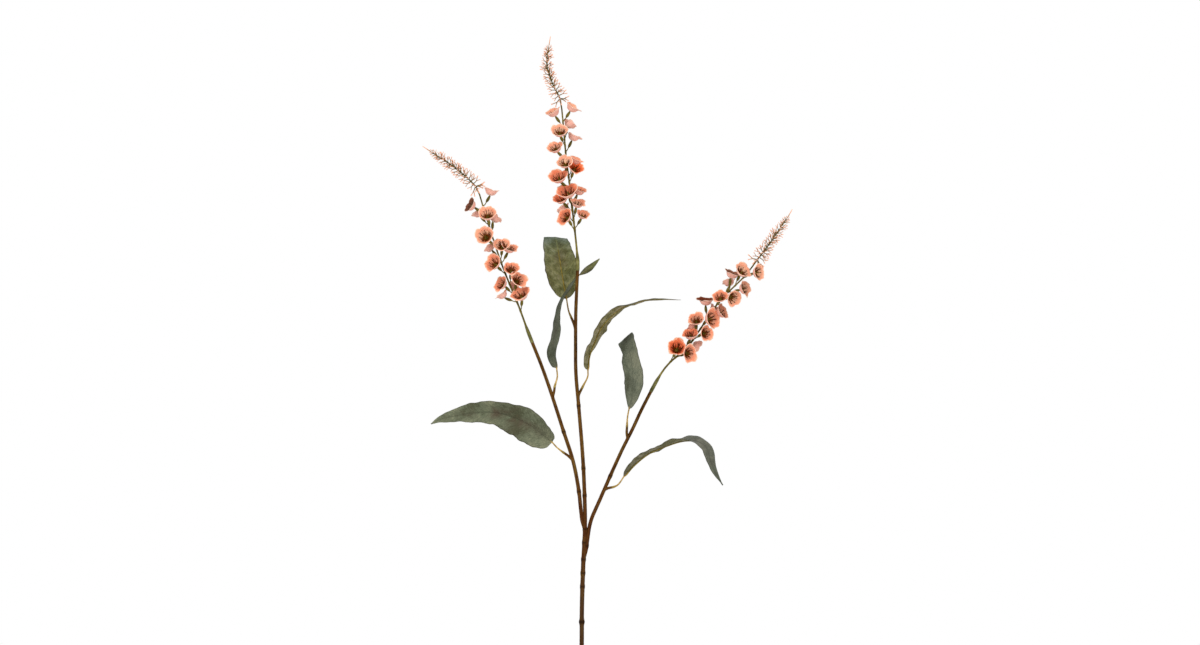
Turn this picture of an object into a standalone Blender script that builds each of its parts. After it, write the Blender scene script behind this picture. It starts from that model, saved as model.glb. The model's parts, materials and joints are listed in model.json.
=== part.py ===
"""An artificial veronica spray with three flower spikes, standing in a plain bottle vase.

Blender 4.5, metres, +Z up. The origin is the centre of the vase's foot, and the front is -Y. Places and
sizes are written in millimetres and turned to metres where they are named.
"""

import math
import random
from collections import namedtuple

import bmesh
import bpy
from mathutils import Matrix, Vector

MM = 0.001
GAP = 0.3 * MM  # the clearance between pieces that meet
END_GAP = 0.45 * MM  # the same where two round ends meet at a slight bend
SMALLEST = 0.0001 * MM  # points nearer than this are one
CURVE_STEPS = 2  # the straight pieces in each span of a stem
SMOOTH_BELOW = math.radians(40)
COLLECTION = "veronica_spray_in_vase"
SEED = 7

VASE_STEPS = 24
VASE_WALL = 5 * MM
VASE_LIP_BEVEL = 1.6 * MM
VASE_CORNER = math.radians(60)
VASE_MERGE = 0.1 * MM
VASE_OUTLINE = ((17, 250), (12.9, 228), (14, 198), (32, 166), (60, 124), (64, 72), (43, 0))

STEM_RADIUS = 2.85 * MM
BRANCH_RADIUS = 2.3 * MM
BRANCH_END_RADIUS = 1.95 * MM
SLEEVE_RADIUS = 2.2 * MM
STALK_RADIUS = 1.35 * MM
STALK_END_RADIUS = 0.8 * MM
KNUCKLE_LENGTH = 6 * MM
KNUCKLE_SWELL = 1.4
KNUCKLE_END = 0.9  # a knuckle's ends, sunk just under the stem's skin
STUB_RADIUS = 1.75 * MM
LEAF_STALK_RADIUS = 1.25 * MM

BELL_LOBES = 5
BELL_WALL = 0.7 * MM
NECK_RADIUS = 1.1 * MM
BELLY_RADIUS = 7.7 * MM
BELLY_HEIGHT = 4.4 * MM
RIM_RADIUS = 10.8 * MM
RIM_HEIGHT = 8.8 * MM
PISTIL_HEIGHT = 6 * MM
CALYX_TILT = math.radians(23)
CALYX_LENGTH = 9 * MM
CALYX_RADIUS = 1.75 * MM
CALYX_WIDEST = 0.45  # the share of its length where the calyx is widest
PEDICEL_RADIUS = 0.65 * MM
PEDICEL_OUT = 3.4 * MM
PEDICEL_UP = 6.3 * MM
LOBE_REACH = 0.9 * MM
LOBE_RISE = 0.7  # a lobe rises by this share of its reach, and the rim dips by half as much between lobes
LONG_LOBE_REACH = 3 * MM
RUFFLE = 0.45 * MM
ROLL_SPREAD = 0.5  # how far a bell may turn about its own axis, in radians
THROAT_LIFT = 1.5  # how far the inside lies ahead of the outside, in walls
BELLY_LIFT = 0.4
RIM_LIFT = 0.6

WHORLS = 11
BRISTLES_IN_WHORL = 5
BRISTLE_LENGTH = 9 * MM
BRISTLE_RADIUS = 0.45 * MM
BRISTLE_SHORTENING = 0.25
BRISTLE_LENGTHS = (0.85, 1.1)
LOWEST_LEAN = math.radians(95)
UPPER_LEAN = math.radians(50)
LEAN_SETTLES = 0.4  # the share of the tip above which the bristles no longer droop
BRISTLE_SPREAD = 0.15  # how far a bristle may stray from its place, in radians
FIRST_WHORL = 0.8 * MM
BARE_POINT = 17.5 * MM
POINT_RADIUS = 0.5 * MM

LEAF_LENGTH_STEPS = 12
LEAF_WIDTH_STEPS = 4
LEAF_THICKNESS = 0.8 * MM
LEAF_WIDTH = 39 * MM
LEAF_END_WIDTH = 1.6 * MM
LEAF_WIDEST = 0.55  # a smaller power moves the widest place nearer the base
LEAF_FULLNESS = 0.95
LEAF_WAVE = 1.6 * MM
LEAF_WAVES = 2.6
RIB_STEPS = 4

# Each branch: its route up the brown stem, up the green stalk and up the bristle tip, in millimetres, the
# heights of its knuckles, and its bells. Each bell: its distance down from the bristle tip, the bearing of its
# calyx round the stalk, how far the calyx leans out beyond its usual tilt, the bearing and the tilt of its
# mouth, and its size. Bearing 0 is the right side of the stalk, 90 the back and -90 the front.
Branch = namedtuple("Branch", "name wood stalk tip knuckles bells")
Bell = namedtuple("Bell", "down side lean mouth tilt size")

MAIN_STEM = ((-3, 0, 5), (0.3, 0, 100), (3.4, 0, 205), (4.6, 0, 260), (4.9, 0, 307), (6.4, 0, 357),
             (8.8, 0, 412))
MAIN_KNUCKLES = (282, 325, 347, 385, 402)

CENTRE = Branch(
    "centre",
    ((8.8, 0, 412), (7.5, 0, 466), (5.1, 0, 507), (0.8, 0, 559), (-2.6, -1, 600), (-3, -1, 640),
     (-2.6, -2, 680), (-0.3, -2, 731)),
    ((-0.8, -2, 746), (-3.3, -3, 772), (-7, -5, 804), (-11, -8, 840), (-15, -11, 872), (-18.5, -14, 912)),
    ((-22, -17, 941), (-29.8, -19, 956), (-38.2, -20, 980), (-37.9, -21, 995), (-34, -22, 1019)),
    (447, 481, 559),
    ((28, -20, 16, -12, 38, 0.87), (34, -175, 8, -150, 24, 0.9), (50, 45, 0, 40, 45, 0.76),
     (58, -125, 8, -90, 40, 0.99), (66, 0, 8, 15, 30, 0.81), (76, -170, 16, -115, 35, 0.93),
     (96, 5, 8, -15, 32, 0.84), (98, -110, 0, -90, 40, 0.96), (104, -40, 8, -55, 50, 0.93),
     (112, -160, 24, -105, 35, 1.13), (134, 25, 8, -25, 28, 0.92), (136, -105, 0, -110, 35, 1.22),
     (140, -175, 16, -115, 35, 0.93), (150, -40, 0, -50, 35, 0.84), (154, 150, 8, 145, 40, 0.81),
     (162, -15, 16, -55, 40, 0.76), (164, -160, 0, -130, 58, 0.99)),
)
LEFT = Branch(
    "left",
    ((6.3, 0, 406), (3.8, -1, 427), (0.4, -2, 457), (-6.4, -4, 491), (-17.9, -7, 527), (-32.3, -11, 572),
     (-44.5, -14, 607), (-57.9, -18, 641)),
    ((-64, -20, 657), (-72.6, -22, 681), (-84.1, -25, 709), (-94.3, -28, 735), (-105.8, -32, 769),
     (-118, -36, 809)),
    ((-126, -39, 831), (-144.9, -41, 849), (-159.3, -42, 860), (-176.6, -43, 871), (-191.9, -44, 881)),
    (452, 527),
    ((26, 0, 24, 10, 30, 0.87), (36, -175, 16, -150, 46, 0.84), (50, 145, 8, 135, 30, 0.7),
     (56, -75, 0, -80, 40, 1.05), (62, 30, 0, 25, 55, 0.8), (78, -145, 8, -100, 55, 1.1),
     (96, -35, 8, -80, 45, 0.93), (96, 145, 0, 135, 35, 0.7), (100, -5, 24, -35, 42, 0.9),
     (114, -140, 8, -115, 45, 1.05), (128, -35, 8, -65, 48, 0.9), (142, -20, 8, -50, 70, 0.99),
     (142, -160, 0, -130, 44, 0.9), (150, 90, 0, 30, 60, 0.7), (152, -180, 24, 170, 15, 0.76),
     (164, -35, 8, -90, 30, 1.13)),
)
RIGHT = Branch(
    "right",
    ((9.4, 0, 370), (11.6, 0, 390), (16.1, 1, 415), (27.1, 2, 441), (52, 5, 497), (67.9, 7, 529),
     (79.6, 9, 554), (92.5, 10, 579)),
    ((104, 11, 599), (116, 12, 614), (141, 10, 637), (168, 6, 678), (184.6, 3, 698), (207.6, -2, 720)),
    ((223.5, -5, 741), (235, -7, 756), (249.8, -9, 777), (262.5, -10, 796), (267.3, -11, 804.5)),
    (384, 471),
    ((28, -45, 0, -48, 44, 0.93), (42, -150, 0, -105, 30, 1.02), (52, 175, 16, -145, 30, 0.86),
     (54, -20, 8, -50, 34, 0.9), (62, 115, 0, 155, 65, 0.76), (72, -50, 8, -50, 85, 0.96),
     (82, -90, 0, -125, 55, 0.88), (96, 175, 16, -130, 30, 0.84), (98, -10, 8, -45, 35, 0.9),
     (102, 85, 0, 55, 30, 0.76), (112, -90, 0, -30, 58, 1.18), (122, -155, 8, -125, 55, 0.93),
     (128, -50, 8, -58, 66, 0.9), (130, 175, 0, 170, 85, 0.7), (144, -130, 0, -140, 55, 0.92),
     (148, 65, 0, 50, 35, 0.76), (160, -62, 8, -62, 60, 1.0), (168, -145, 0, -115, 65, 1.08)),
)
BRANCHES = (CENTRE, LEFT, RIGHT)

# Each leaf: the route of its stalk from the stem, the route of its midrib, the ways that its upper side
# faces, how far its right and its left half turn up from lying flat that way, in degrees, and its width. The
# ways and the angles run from base to tip. Right and left are as seen from above with the tip ahead.
Leaf = namedtuple("Leaf", "name stalk midrib faces right left width")

TO_FRONT = ((0, -1, 0), (0, -1, 0))
TO_BACK = ((0, 1, 0), (0, 1, 0))
OVER_THE_BACK = ((0, 1, 0), (0, 1, -0.3), (-0.12, 0.5, -1), (-0.12, -0.6, -1), (0, -1, -0.4))
CURLED_BACK = ((0, -1, 0), (0, -1, 0), (-0.1, -1, 0.3), (-0.6, 0, 1), (-0.5, 1, 0.6))

LEAVES = (
    Leaf(
        "left_long_leaf",
        ((-6.4, -4, 491), (-12, -5, 496.5), (-18.8, -6, 501.3), (-26, -7, 507), (-32.3, -8, 513.8)),
        ((-32.3, -8, 513.8), (-56.8, -12, 532.5), (-75, -15, 542.5), (-94.4, -17, 549), (-110.5, -18, 551),
         (-132, -18, 550), (-148.3, -17, 547.5), (-171, -15, 542.5), (-183, -14, 536.8)),
        TO_FRONT, (52, 45, 35, 5, 0), (20, 5, 36, 38, 20), 1.14,
    ),
    Leaf(
        "left_narrow_leaf",
        ((-31.6, -10.8, 570), (-29.8, -10, 577), (-28.9, -9.5, 583.8), (-25.8, -9, 595), (-26.6, -9, 606.5)),
        ((-26.6, -9, 606.5), (-30.5, -9, 630), (-28, -6, 655), (-22, 0, 685), (-12.5, 5, 706), (-1.6, 9, 720),
         (11.8, 10, 729), (27, 10, 743)),
        TO_FRONT, (60, 70, 78, 106, 130), (-60, -70, -78, -106, -130), 0.8,
    ),
    Leaf(
        "centre_broad_leaf",
        ((-3, -1, 654), (-5, 1, 661), (-9.3, 5, 671.3), (-12.1, 10, 678.8), (-14.5, 16, 693)),
        ((-14.5, 16, 693), (-18.5, 21, 714), (-22, 26, 735), (-26, 33, 758), (-29, 46, 771), (-31, 61, 766),
         (-32, 74, 750), (-33, 84, 724)),
        OVER_THE_BACK, (8, 5, 8, 10, 10), (8, 0, 0, 10, 10), 1.02,
    ),
    Leaf(
        "centre_arching_leaf",
        ((0.3, -0.5, 566), (1.1, -2, 573), (6.4, -4, 583.8), (12, -6, 595), (12.4, -8, 604)),
        ((12.4, -8, 604), (13.5, -10, 620), (21, -13, 640), (31, -18, 660), (54, -24, 681), (80.9, -31, 690),
         (103, -36, 691.5), (127.5, -40, 691)),
        TO_BACK, (-60, -67, -77, -83, -84), (80, 68, 69, 82, 84), 0.8,
    ),
    Leaf(
        "right_broad_leaf",
        ((62.3, 6.3, 517), (61, 4, 525), (61.3, 1, 535), (61.9, -2, 545), (63.8, -4, 555.6)),
        ((63.8, -4, 555.6), (68.5, -6, 575), (68.5, -6, 595), (67, -3, 615), (63, 4, 632), (59, 16, 642),
         (56, 30, 641), (55, 42, 626)),
        CURLED_BACK, (60, 53, 52, 20, 0), (-72, -60, -30, 0, 0), 1,
    ),
    Leaf(
        "right_arching_leaf",
        ((33.1, 3, 454), (38, 1, 456), (44.1, -1, 457.5), (50.5, -3, 461), (57.5, -5, 471)),
        ((57.5, -5, 471), (69.5, -8, 485), (87.5, -12, 499.5), (107.5, -16, 508.5), (130, -20, 515.5),
         (148, -22, 515), (160, -23, 507), (165, -24, 491), (170, -25, 478), (180, -26, 461)),
        TO_BACK, (-60, -57, -80, -128, -150), (86, 84, 80, 128, 150), 0.88,
    ),
)
STUB_POINTS = 3  # the first points of a leaf's stalk that belong to the stem

LOOKS = {
    "glaze": ("#d8d2c4", 0.35),
    "stem_plastic": ("#5d3a20", 0.6),
    "petal_cloth": ("#e8916a", 0.7),
    "tip_plastic": ("#f0b394", 0.6),
    "leaf_cloth": ("#5d6a55", 0.7),
}


def clear_scene():
    for old in list(bpy.data.objects):
        bpy.data.objects.remove(old)


def material(name, colour, roughness):
    """A Principled material. Its colour is sRGB hex, turned to linear here."""
    made = bpy.data.materials.new(name)
    made.use_nodes = True
    shader = made.node_tree.nodes["Principled BSDF"]
    channels = [int(colour[i:i + 2], 16) / 255 for i in (1, 3, 5)]
    linear = [c / 12.92 if c <= 0.04045 else ((c + 0.055) / 1.055) ** 2.4 for c in channels]
    shader.inputs["Base Color"].default_value = (*linear, 1)
    shader.inputs["Roughness"].default_value = roughness
    shader.inputs["Metallic"].default_value = 0
    made.diffuse_color = (*linear, 1)
    return made


def smooth(points, pieces):
    """A Catmull-Rom curve through points in millimetres, each span in a few pieces, as points in metres."""
    spots = [Vector(p) * MM for p in points]
    ends = [2 * spots[0] - spots[1], *spots, 2 * spots[-1] - spots[-2]]
    line = []
    for a, b, c, d in zip(ends, ends[1:], ends[2:], ends[3:]):
        for k in range(pieces):
            t = k / pieces
            line.append(0.5 * (2 * b + (c - a) * t + (2 * a - 5 * b + 4 * c - d) * t**2
                               + (3 * b - a - 3 * c + d) * t**3))
    return [*line, spots[-1]]


def on_line(line, distance):
    """The place and the direction at a distance along a line of points, past its end too."""
    for start, end in zip(line, line[1:]):
        length = (end - start).length
        if distance <= length or end is line[-1]:
            way = (end - start).normalized()
            return start + way * distance, way
        distance -= length


def length_of(line):
    return sum((b - a).length for a, b in zip(line, line[1:]))


def at_height(line, height):
    """How far along a rising line the given height is."""
    travelled = 0
    for start, end in zip(line, line[1:]):
        if end.z >= height:
            return travelled + (end - start).length * (height - start.z) / (end.z - start.z)
        travelled += (end - start).length
    return travelled


def as_mesh_object(name, source):
    """A plain mesh of what an object evaluates to, in the world's frame. The source is removed."""
    bpy.context.view_layer.update()
    graph = bpy.context.evaluated_depsgraph_get()
    mesh = bpy.data.meshes.new_from_object(source.evaluated_get(graph))
    bm = bmesh.new()
    bm.from_mesh(mesh)
    bmesh.ops.transform(bm, matrix=source.matrix_world, verts=bm.verts)
    bmesh.ops.remove_doubles(bm, verts=bm.verts, dist=SMALLEST)
    bm.to_mesh(mesh)
    bm.free()
    bpy.data.objects.remove(source)
    return bpy.data.objects.new(name, mesh)


def tube(name, line, radii, round_steps):
    """A round tube along a line, with a radius at each point. Its sides number 4 + 2 round_steps."""
    curve = bpy.data.curves.new(name, "CURVE")
    curve.dimensions = "3D"
    curve.bevel_depth = 1
    curve.bevel_resolution = round_steps
    curve.use_fill_caps = True
    spline = curve.splines.new("POLY")
    spline.points.add(len(line) - 1)
    for point, spot, radius in zip(spline.points, line, radii):
        point.co = (*spot, 1)
        point.radius = radius
    holder = bpy.data.objects.new(name, curve)
    bpy.context.scene.collection.objects.link(holder)
    return as_mesh_object(name, holder)


def taper(line, start, end):
    """Radii that run evenly from start to end along a line."""
    return [start + (end - start) * k / (len(line) - 1) for k in range(len(line))]


def fuse(name, body, pieces, look):
    """One body of an object and the pieces that grow out of it, by one union on their collection."""
    helpers = bpy.data.collections.new(name + "_pieces")
    bpy.context.scene.collection.children.link(helpers)
    for piece in pieces:
        helpers.objects.link(piece)
    bpy.context.scene.collection.objects.link(body)
    union = body.modifiers.new("Union", "BOOLEAN")
    union.operation = "UNION"
    union.operand_type = "COLLECTION"
    union.collection = helpers
    union.solver = "MANIFOLD"
    joined = as_mesh_object(name, body)
    for piece in list(helpers.objects):
        bpy.data.objects.remove(piece)
    bpy.data.collections.remove(helpers)
    finish(joined, look)
    return joined


def finish(made, look):
    """Puts an object in the spray's collection with its material, smooth but for its sharp edges."""
    made.data.materials.clear()
    made.data.materials.append(look)
    made.data.shade_smooth()
    made.data.set_sharp_from_angle(angle=SMOOTH_BELOW)
    bpy.data.collections[COLLECTION].objects.link(made)


def vase(look):
    """A turned outside, open at the lip, given its wall inwards."""
    outline = [Vector((p.x, 0, p.y)) for p in smooth([(*p, 0) for p in VASE_OUTLINE], CURVE_STEPS)]
    mesh = bpy.data.meshes.new("vase")
    spots = [*outline, Vector((0, 0, 0))]
    mesh.from_pydata(spots, [(k, k + 1) for k in range(len(spots) - 1)], [])
    made = bpy.data.objects.new("vase", mesh)
    turned = made.modifiers.new("Turned", "SCREW")
    turned.steps = turned.render_steps = VASE_STEPS
    turned.use_merge_vertices = True
    turned.merge_threshold = VASE_MERGE
    wall = made.modifiers.new("Wall", "SOLIDIFY")
    wall.thickness = VASE_WALL
    wall.offset = -1
    wall.use_even_offset = True
    lip = made.modifiers.new("Lip", "BEVEL")
    lip.width = VASE_LIP_BEVEL
    lip.segments = 2
    lip.angle_limit = VASE_CORNER
    finish(made, look)


def knuckle(line, height, radius):
    """A short swelling of a stem at a height."""
    middle, way = on_line(line, at_height(line, height * MM))
    ends = [middle - way * KNUCKLE_LENGTH / 2, middle, middle + way * KNUCKLE_LENGTH / 2]
    return tube("knuckle", ends, [radius * KNUCKLE_END, radius * KNUCKLE_SWELL, radius * KNUCKLE_END], 1)


def stem(look):
    """The main stem with its three branches, their knuckles and a stub for each leaf, as one moulding."""
    main = smooth(MAIN_STEM, CURVE_STEPS)
    main[0].z = VASE_WALL + GAP
    pieces = [knuckle(main, height, STEM_RADIUS) for height in MAIN_KNUCKLES]
    for branch in BRANCHES:
        wood = smooth(branch.wood, CURVE_STEPS)
        pieces.append(tube("branch", wood, taper(wood, BRANCH_RADIUS, BRANCH_END_RADIUS), 1))
        pieces += [knuckle(wood, height, BRANCH_RADIUS) for height in branch.knuckles]
    for leaf in LEAVES:
        stub = smooth(leaf.stalk, 1)[:STUB_POINTS]
        pieces.append(tube("stub", stub, taper(stub, STUB_RADIUS, LEAF_STALK_RADIUS), 1))
    return fuse("stem", tube("stem", main, taper(main, STEM_RADIUS, STEM_RADIUS), 2), pieces, look)


def ring(bm, centre, turn, radius, count):
    """Points round a centre, anticlockwise as seen from ahead along the turn's third axis."""
    angles = [math.tau * k / count for k in range(count)]
    return [bm.verts.new(centre + turn @ Vector((math.cos(a), math.sin(a), 0)) * radius) for a in angles]


def loft(bm, lower, upper, inside=False):
    """Triangles from a ring to the next, which has as many points or twice as many."""
    count = len(lower)
    step = len(upper) // count
    for k in range(count):
        a, b = lower[k], lower[(k + 1) % count]
        c, d = upper[k * step], upper[(k + 1) * step % len(upper)]
        faces = [(a, b, d), (a, d, c)]
        if step == 2:
            middle = upper[2 * k + 1]
            faces = [(a, middle, c), (a, b, middle), (b, d, middle)]
        for face in faces:
            bm.faces.new(face[::-1] if inside else face)


def ruffled_rim(bm, neck, turn, size, rng):
    """The rim's outer points. They rise and reach out at each lobe. The first is drawn out and curls down."""
    rim = ring(bm, neck + turn @ Vector((0, 0, RIM_HEIGHT)) * size, turn, RIM_RADIUS * size, 2 * BELL_LOBES)
    centre = sum((vert.co for vert in rim), Vector()) / len(rim)
    for k, vert in enumerate(rim):
        outward = (vert.co - centre).normalized()
        reach = LOBE_REACH if k % 2 == 0 else -LOBE_REACH / 2
        rise = reach * LOBE_RISE
        if k == 0:
            reach = LONG_LOBE_REACH
            rise = -reach / 2
        reach += rng.uniform(-RUFFLE, RUFFLE)
        rise += rng.uniform(-RUFFLE, RUFFLE)
        vert.co += (outward * reach + turn @ Vector((0, 0, rise))) * size
    return rim


def within(bm, outer, centre, lift):
    """The points of a ring again, one wall nearer its centre and moved by a vector measured in walls."""
    inner = []
    for vert in outer:
        inward = (centre - vert.co).normalized()
        inner.append(bm.verts.new(vert.co + inward * BELL_WALL + lift * BELL_WALL))
    return inner


def sideways(way, bearing):
    """The direction square to a stalk that lies at a bearing round it."""
    right = Vector((way.z, 0, -way.x)).normalized()
    angle = math.radians(bearing)
    return right * math.cos(angle) + way.cross(right) * math.sin(angle)


def swung(turn, ahead):
    """A frame swung without a twist until its third axis points ahead."""
    return turn.col[2].rotation_difference(ahead).to_matrix() @ turn


def bell(spot, way, numbers, rng):
    """One bell: its pedicel, a spindle-shaped calyx, a thin cup with a ruffled rim, and the pistil in it.

    It is one loft from the stalk up the outside, over the rim and down the inside to the pistil's point.
    """
    size = numbers.size
    side = sideways(way, numbers.side)
    lean = math.radians(numbers.lean)
    out = side * math.cos(lean) - way * math.sin(lean)
    up = way * math.cos(lean) + side * math.sin(lean)
    foot = spot + out * PEDICEL_OUT + up * PEDICEL_UP
    calyx_way = out * math.sin(CALYX_TILT) + up * math.cos(CALYX_TILT)
    neck = foot + calyx_way * CALYX_LENGTH
    tilt = math.radians(numbers.tilt)
    facing = sideways(way, numbers.mouth)
    mouth = facing * math.sin(tilt) + way * math.cos(tilt)
    across = facing * math.cos(tilt) - way * math.sin(tilt)
    roll = Matrix.Rotation(rng.uniform(-ROLL_SPREAD, ROLL_SPREAD), 3, "Z")
    turn = Matrix((across, mouth.cross(across), mouth)).transposed() @ roll
    neck_turn = swung(turn, (mouth + calyx_way).normalized())
    calyx_turn = swung(neck_turn, calyx_way)
    foot_turn = swung(calyx_turn, (foot - spot).normalized())

    bm = bmesh.new()
    belly = neck + mouth * BELLY_HEIGHT * size
    outside = [
        ring(bm, spot, foot_turn, PEDICEL_RADIUS, BELL_LOBES),
        ring(bm, foot, foot_turn, PEDICEL_RADIUS, BELL_LOBES),
        ring(bm, foot + calyx_way * CALYX_LENGTH * CALYX_WIDEST, calyx_turn, CALYX_RADIUS, BELL_LOBES),
        ring(bm, neck, neck_turn, NECK_RADIUS, BELL_LOBES),
        ring(bm, belly, turn, BELLY_RADIUS * size, 2 * BELL_LOBES),
        ruffled_rim(bm, neck, turn, size, rng),
    ]
    inside = [
        ring(bm, neck + mouth * THROAT_LIFT * BELL_WALL, turn, NECK_RADIUS, BELL_LOBES),
        within(bm, outside[-2], belly, mouth * BELLY_LIFT),
        within(bm, outside[-1], neck + mouth * RIM_HEIGHT * size, mouth * RIM_LIFT),
    ]
    for lower, upper in zip(outside, outside[1:]):
        loft(bm, lower, upper)
    loft(bm, outside[-1], inside[-1])
    for lower, upper in zip(inside, inside[1:]):
        loft(bm, lower, upper, inside=True)
    bm.faces.new(outside[0][::-1])
    point = bm.verts.new(neck + mouth * PISTIL_HEIGHT * size)
    for k in range(BELL_LOBES):
        bm.faces.new((inside[0][k], inside[0][(k + 1) % BELL_LOBES], point))
    bmesh.ops.triangulate(bm, faces=bm.faces)
    mesh = bpy.data.meshes.new("bell")
    bm.to_mesh(mesh)
    bm.free()
    return bpy.data.objects.new("bell", mesh)


def branch_line(branch):
    """The whole line of a branch, and the numbers of its points where the green stalk and the tip begin."""
    line = smooth((*branch.wood, *branch.stalk, *branch.tip), CURVE_STEPS)
    return line, CURVE_STEPS * (len(branch.wood) - 1), CURVE_STEPS * (len(branch.wood) + len(branch.stalk))


def spike(branch, look, rng):
    """The green stalk from its sleeve to the bristle tip, with the bells that grow round it."""
    line, start, end = branch_line(branch)
    stalk = line[start:end + 1]
    stalk[0], _ = on_line(stalk, END_GAP)
    radii = taper(stalk, STALK_RADIUS, STALK_END_RADIUS)
    radii[0] = radii[1] = SLEEVE_RADIUS
    bells = []
    for numbers in map(Bell._make, branch.bells):
        spot, way = on_line(stalk, length_of(stalk) - numbers.down * MM)
        bells.append(bell(spot, way, numbers, rng))
    return fuse(branch.name + "_spike", tube("stalk", stalk, radii, 1), bells, look)


def bristle(spot, way, lean, turn, length):
    """A three-sided bristle that leans out from the axis."""
    side = way.orthogonal().normalized()
    side.rotate(Matrix.Rotation(turn, 3, way))
    out = (way * math.cos(lean) + side * math.sin(lean)).normalized()
    bm = bmesh.new()
    bmesh.ops.create_cone(bm, cap_ends=True, cap_tris=False, segments=3, radius1=BRISTLE_RADIUS, radius2=0,
                          depth=length)
    place = Matrix.Translation(spot + out * length / 2) @ out.to_track_quat("Z", "Y").to_matrix().to_4x4()
    bmesh.ops.transform(bm, matrix=place, verts=bm.verts)
    mesh = bpy.data.meshes.new("bristle")
    bm.to_mesh(mesh)
    bm.free()
    return bpy.data.objects.new("bristle", mesh)


def bristle_tip(branch, look, rng):
    """The unopened end of a spike: a thin axis with whorls of bristles up to a bare point."""
    line, _, start = branch_line(branch)
    axis = line[start:]
    axis[0], _ = on_line(axis, END_GAP)
    bristled = length_of(axis) - BARE_POINT
    bristles = []
    for whorl in range(WHORLS):
        share = whorl / (WHORLS - 1)
        spot, way = on_line(axis, FIRST_WHORL + bristled * share)
        lean = LOWEST_LEAN + (UPPER_LEAN - LOWEST_LEAN) * min(1, share / LEAN_SETTLES)
        for k in range(BRISTLES_IN_WHORL):
            stray = rng.uniform(-BRISTLE_SPREAD, BRISTLE_SPREAD)
            turn = math.tau * (k + whorl / 2) / BRISTLES_IN_WHORL + stray
            length = BRISTLE_LENGTH * rng.uniform(*BRISTLE_LENGTHS) * (1 - BRISTLE_SHORTENING * share)
            bristles.append(bristle(spot, way, lean + stray, turn, length))
    radii = taper(axis, STALK_END_RADIUS, POINT_RADIUS)
    return fuse(branch.name + "_tip", tube("axis", axis, radii, 0), bristles, look)


def between(values, share):
    """The value at a share of the way along a row of evenly spaced numbers or vectors."""
    place = share * (len(values) - 1)
    first = min(int(place), len(values) - 2)
    return values[first] + (values[first + 1] - values[first]) * (place - first)


def leaf_half_width(share, width):
    """Half the blade's width at a share of its length: round at the base, then a long point."""
    full = LEAF_WIDTH / 2 * width * abs(math.sin(math.pi * share**LEAF_WIDEST)) ** LEAF_FULLNESS
    return max(full, LEAF_END_WIDTH / 2)


def blade(leaf):
    """A thin blade bent from a flat grid: along its midrib, each half turned up from it, the edges waved."""
    rib = smooth(leaf.midrib, RIB_STEPS)
    faces = [Vector(face).normalized() for face in leaf.faces]
    bm = bmesh.new()
    bmesh.ops.create_grid(bm, x_segments=LEAF_LENGTH_STEPS, y_segments=LEAF_WIDTH_STEPS, size=1)
    for vert in bm.verts:
        share = (vert.co.x + 1) / 2
        side = vert.co.y
        spot, way = on_line(rib, share * length_of(rib))
        across = way.cross(between(faces, share)).normalized()
        half = leaf_half_width(share, leaf.width)
        turned_up = math.radians(between(leaf.right, share) if side > 0 else -between(leaf.left, share))
        across.rotate(Matrix.Rotation(-turned_up, 3, way))
        wave = LEAF_WAVE * side**2 * math.sin(math.tau * LEAF_WAVES * share) * half / (LEAF_WIDTH / 2)
        vert.co = spot + across * side * half + across.cross(way) * wave
    bmesh.ops.triangulate(bm, faces=bm.faces)
    mesh = bpy.data.meshes.new("blade")
    bm.to_mesh(mesh)
    bm.free()
    made = bpy.data.objects.new("blade", mesh)
    wall = made.modifiers.new("Thickness", "SOLIDIFY")
    wall.thickness = LEAF_THICKNESS
    wall.offset = 0
    return made


def leaf_with_stalk(leaf, look):
    """A blade fused to the stalk that meets the stem's stub end to end."""
    stalk = smooth((*leaf.stalk, *leaf.midrib[1:2]), 1)[STUB_POINTS - 1:]
    stalk[0], _ = on_line(stalk, END_GAP)
    radii = taper(stalk, LEAF_STALK_RADIUS, LEAF_STALK_RADIUS / 2)
    return fuse(leaf.name, tube("leaf_stalk", stalk, radii, 0), [blade(leaf)], look)


def main():
    looks = {name: material(name, colour, roughness) for name, (colour, roughness) in LOOKS.items()}
    rng = random.Random(SEED)
    vase(looks["glaze"])
    stem(looks["stem_plastic"])
    for branch in BRANCHES:
        spike(branch, looks["petal_cloth"], rng)
        bristle_tip(branch, looks["tip_plastic"], rng)
    for leaf in LEAVES:
        leaf_with_stalk(leaf, looks["leaf_cloth"])


clear_scene()
bpy.context.scene.collection.children.link(bpy.data.collections.new(COLLECTION))
main()
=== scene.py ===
# %% [markdown]
# # An artificial veronica spray in a vase
# A spray like this is moulded plastic and pressed cloth: a brown stem over a wire, three flower spikes of
# cloth bells on a thin green stalk, each spike ending in a soft bristly tip, and six printed cloth leaves.
# A plain solid model gives every piece its place and its size, in metres, with +Z up. This lesson gives the
# pieces their fine shape and their finish. We load the solids first, because each piece we make stands for
# one of them.

# %% Load the solid model
import json
import math
import random
from collections import namedtuple

import bmesh
import bpy
from mathutils import Matrix, Vector

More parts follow.
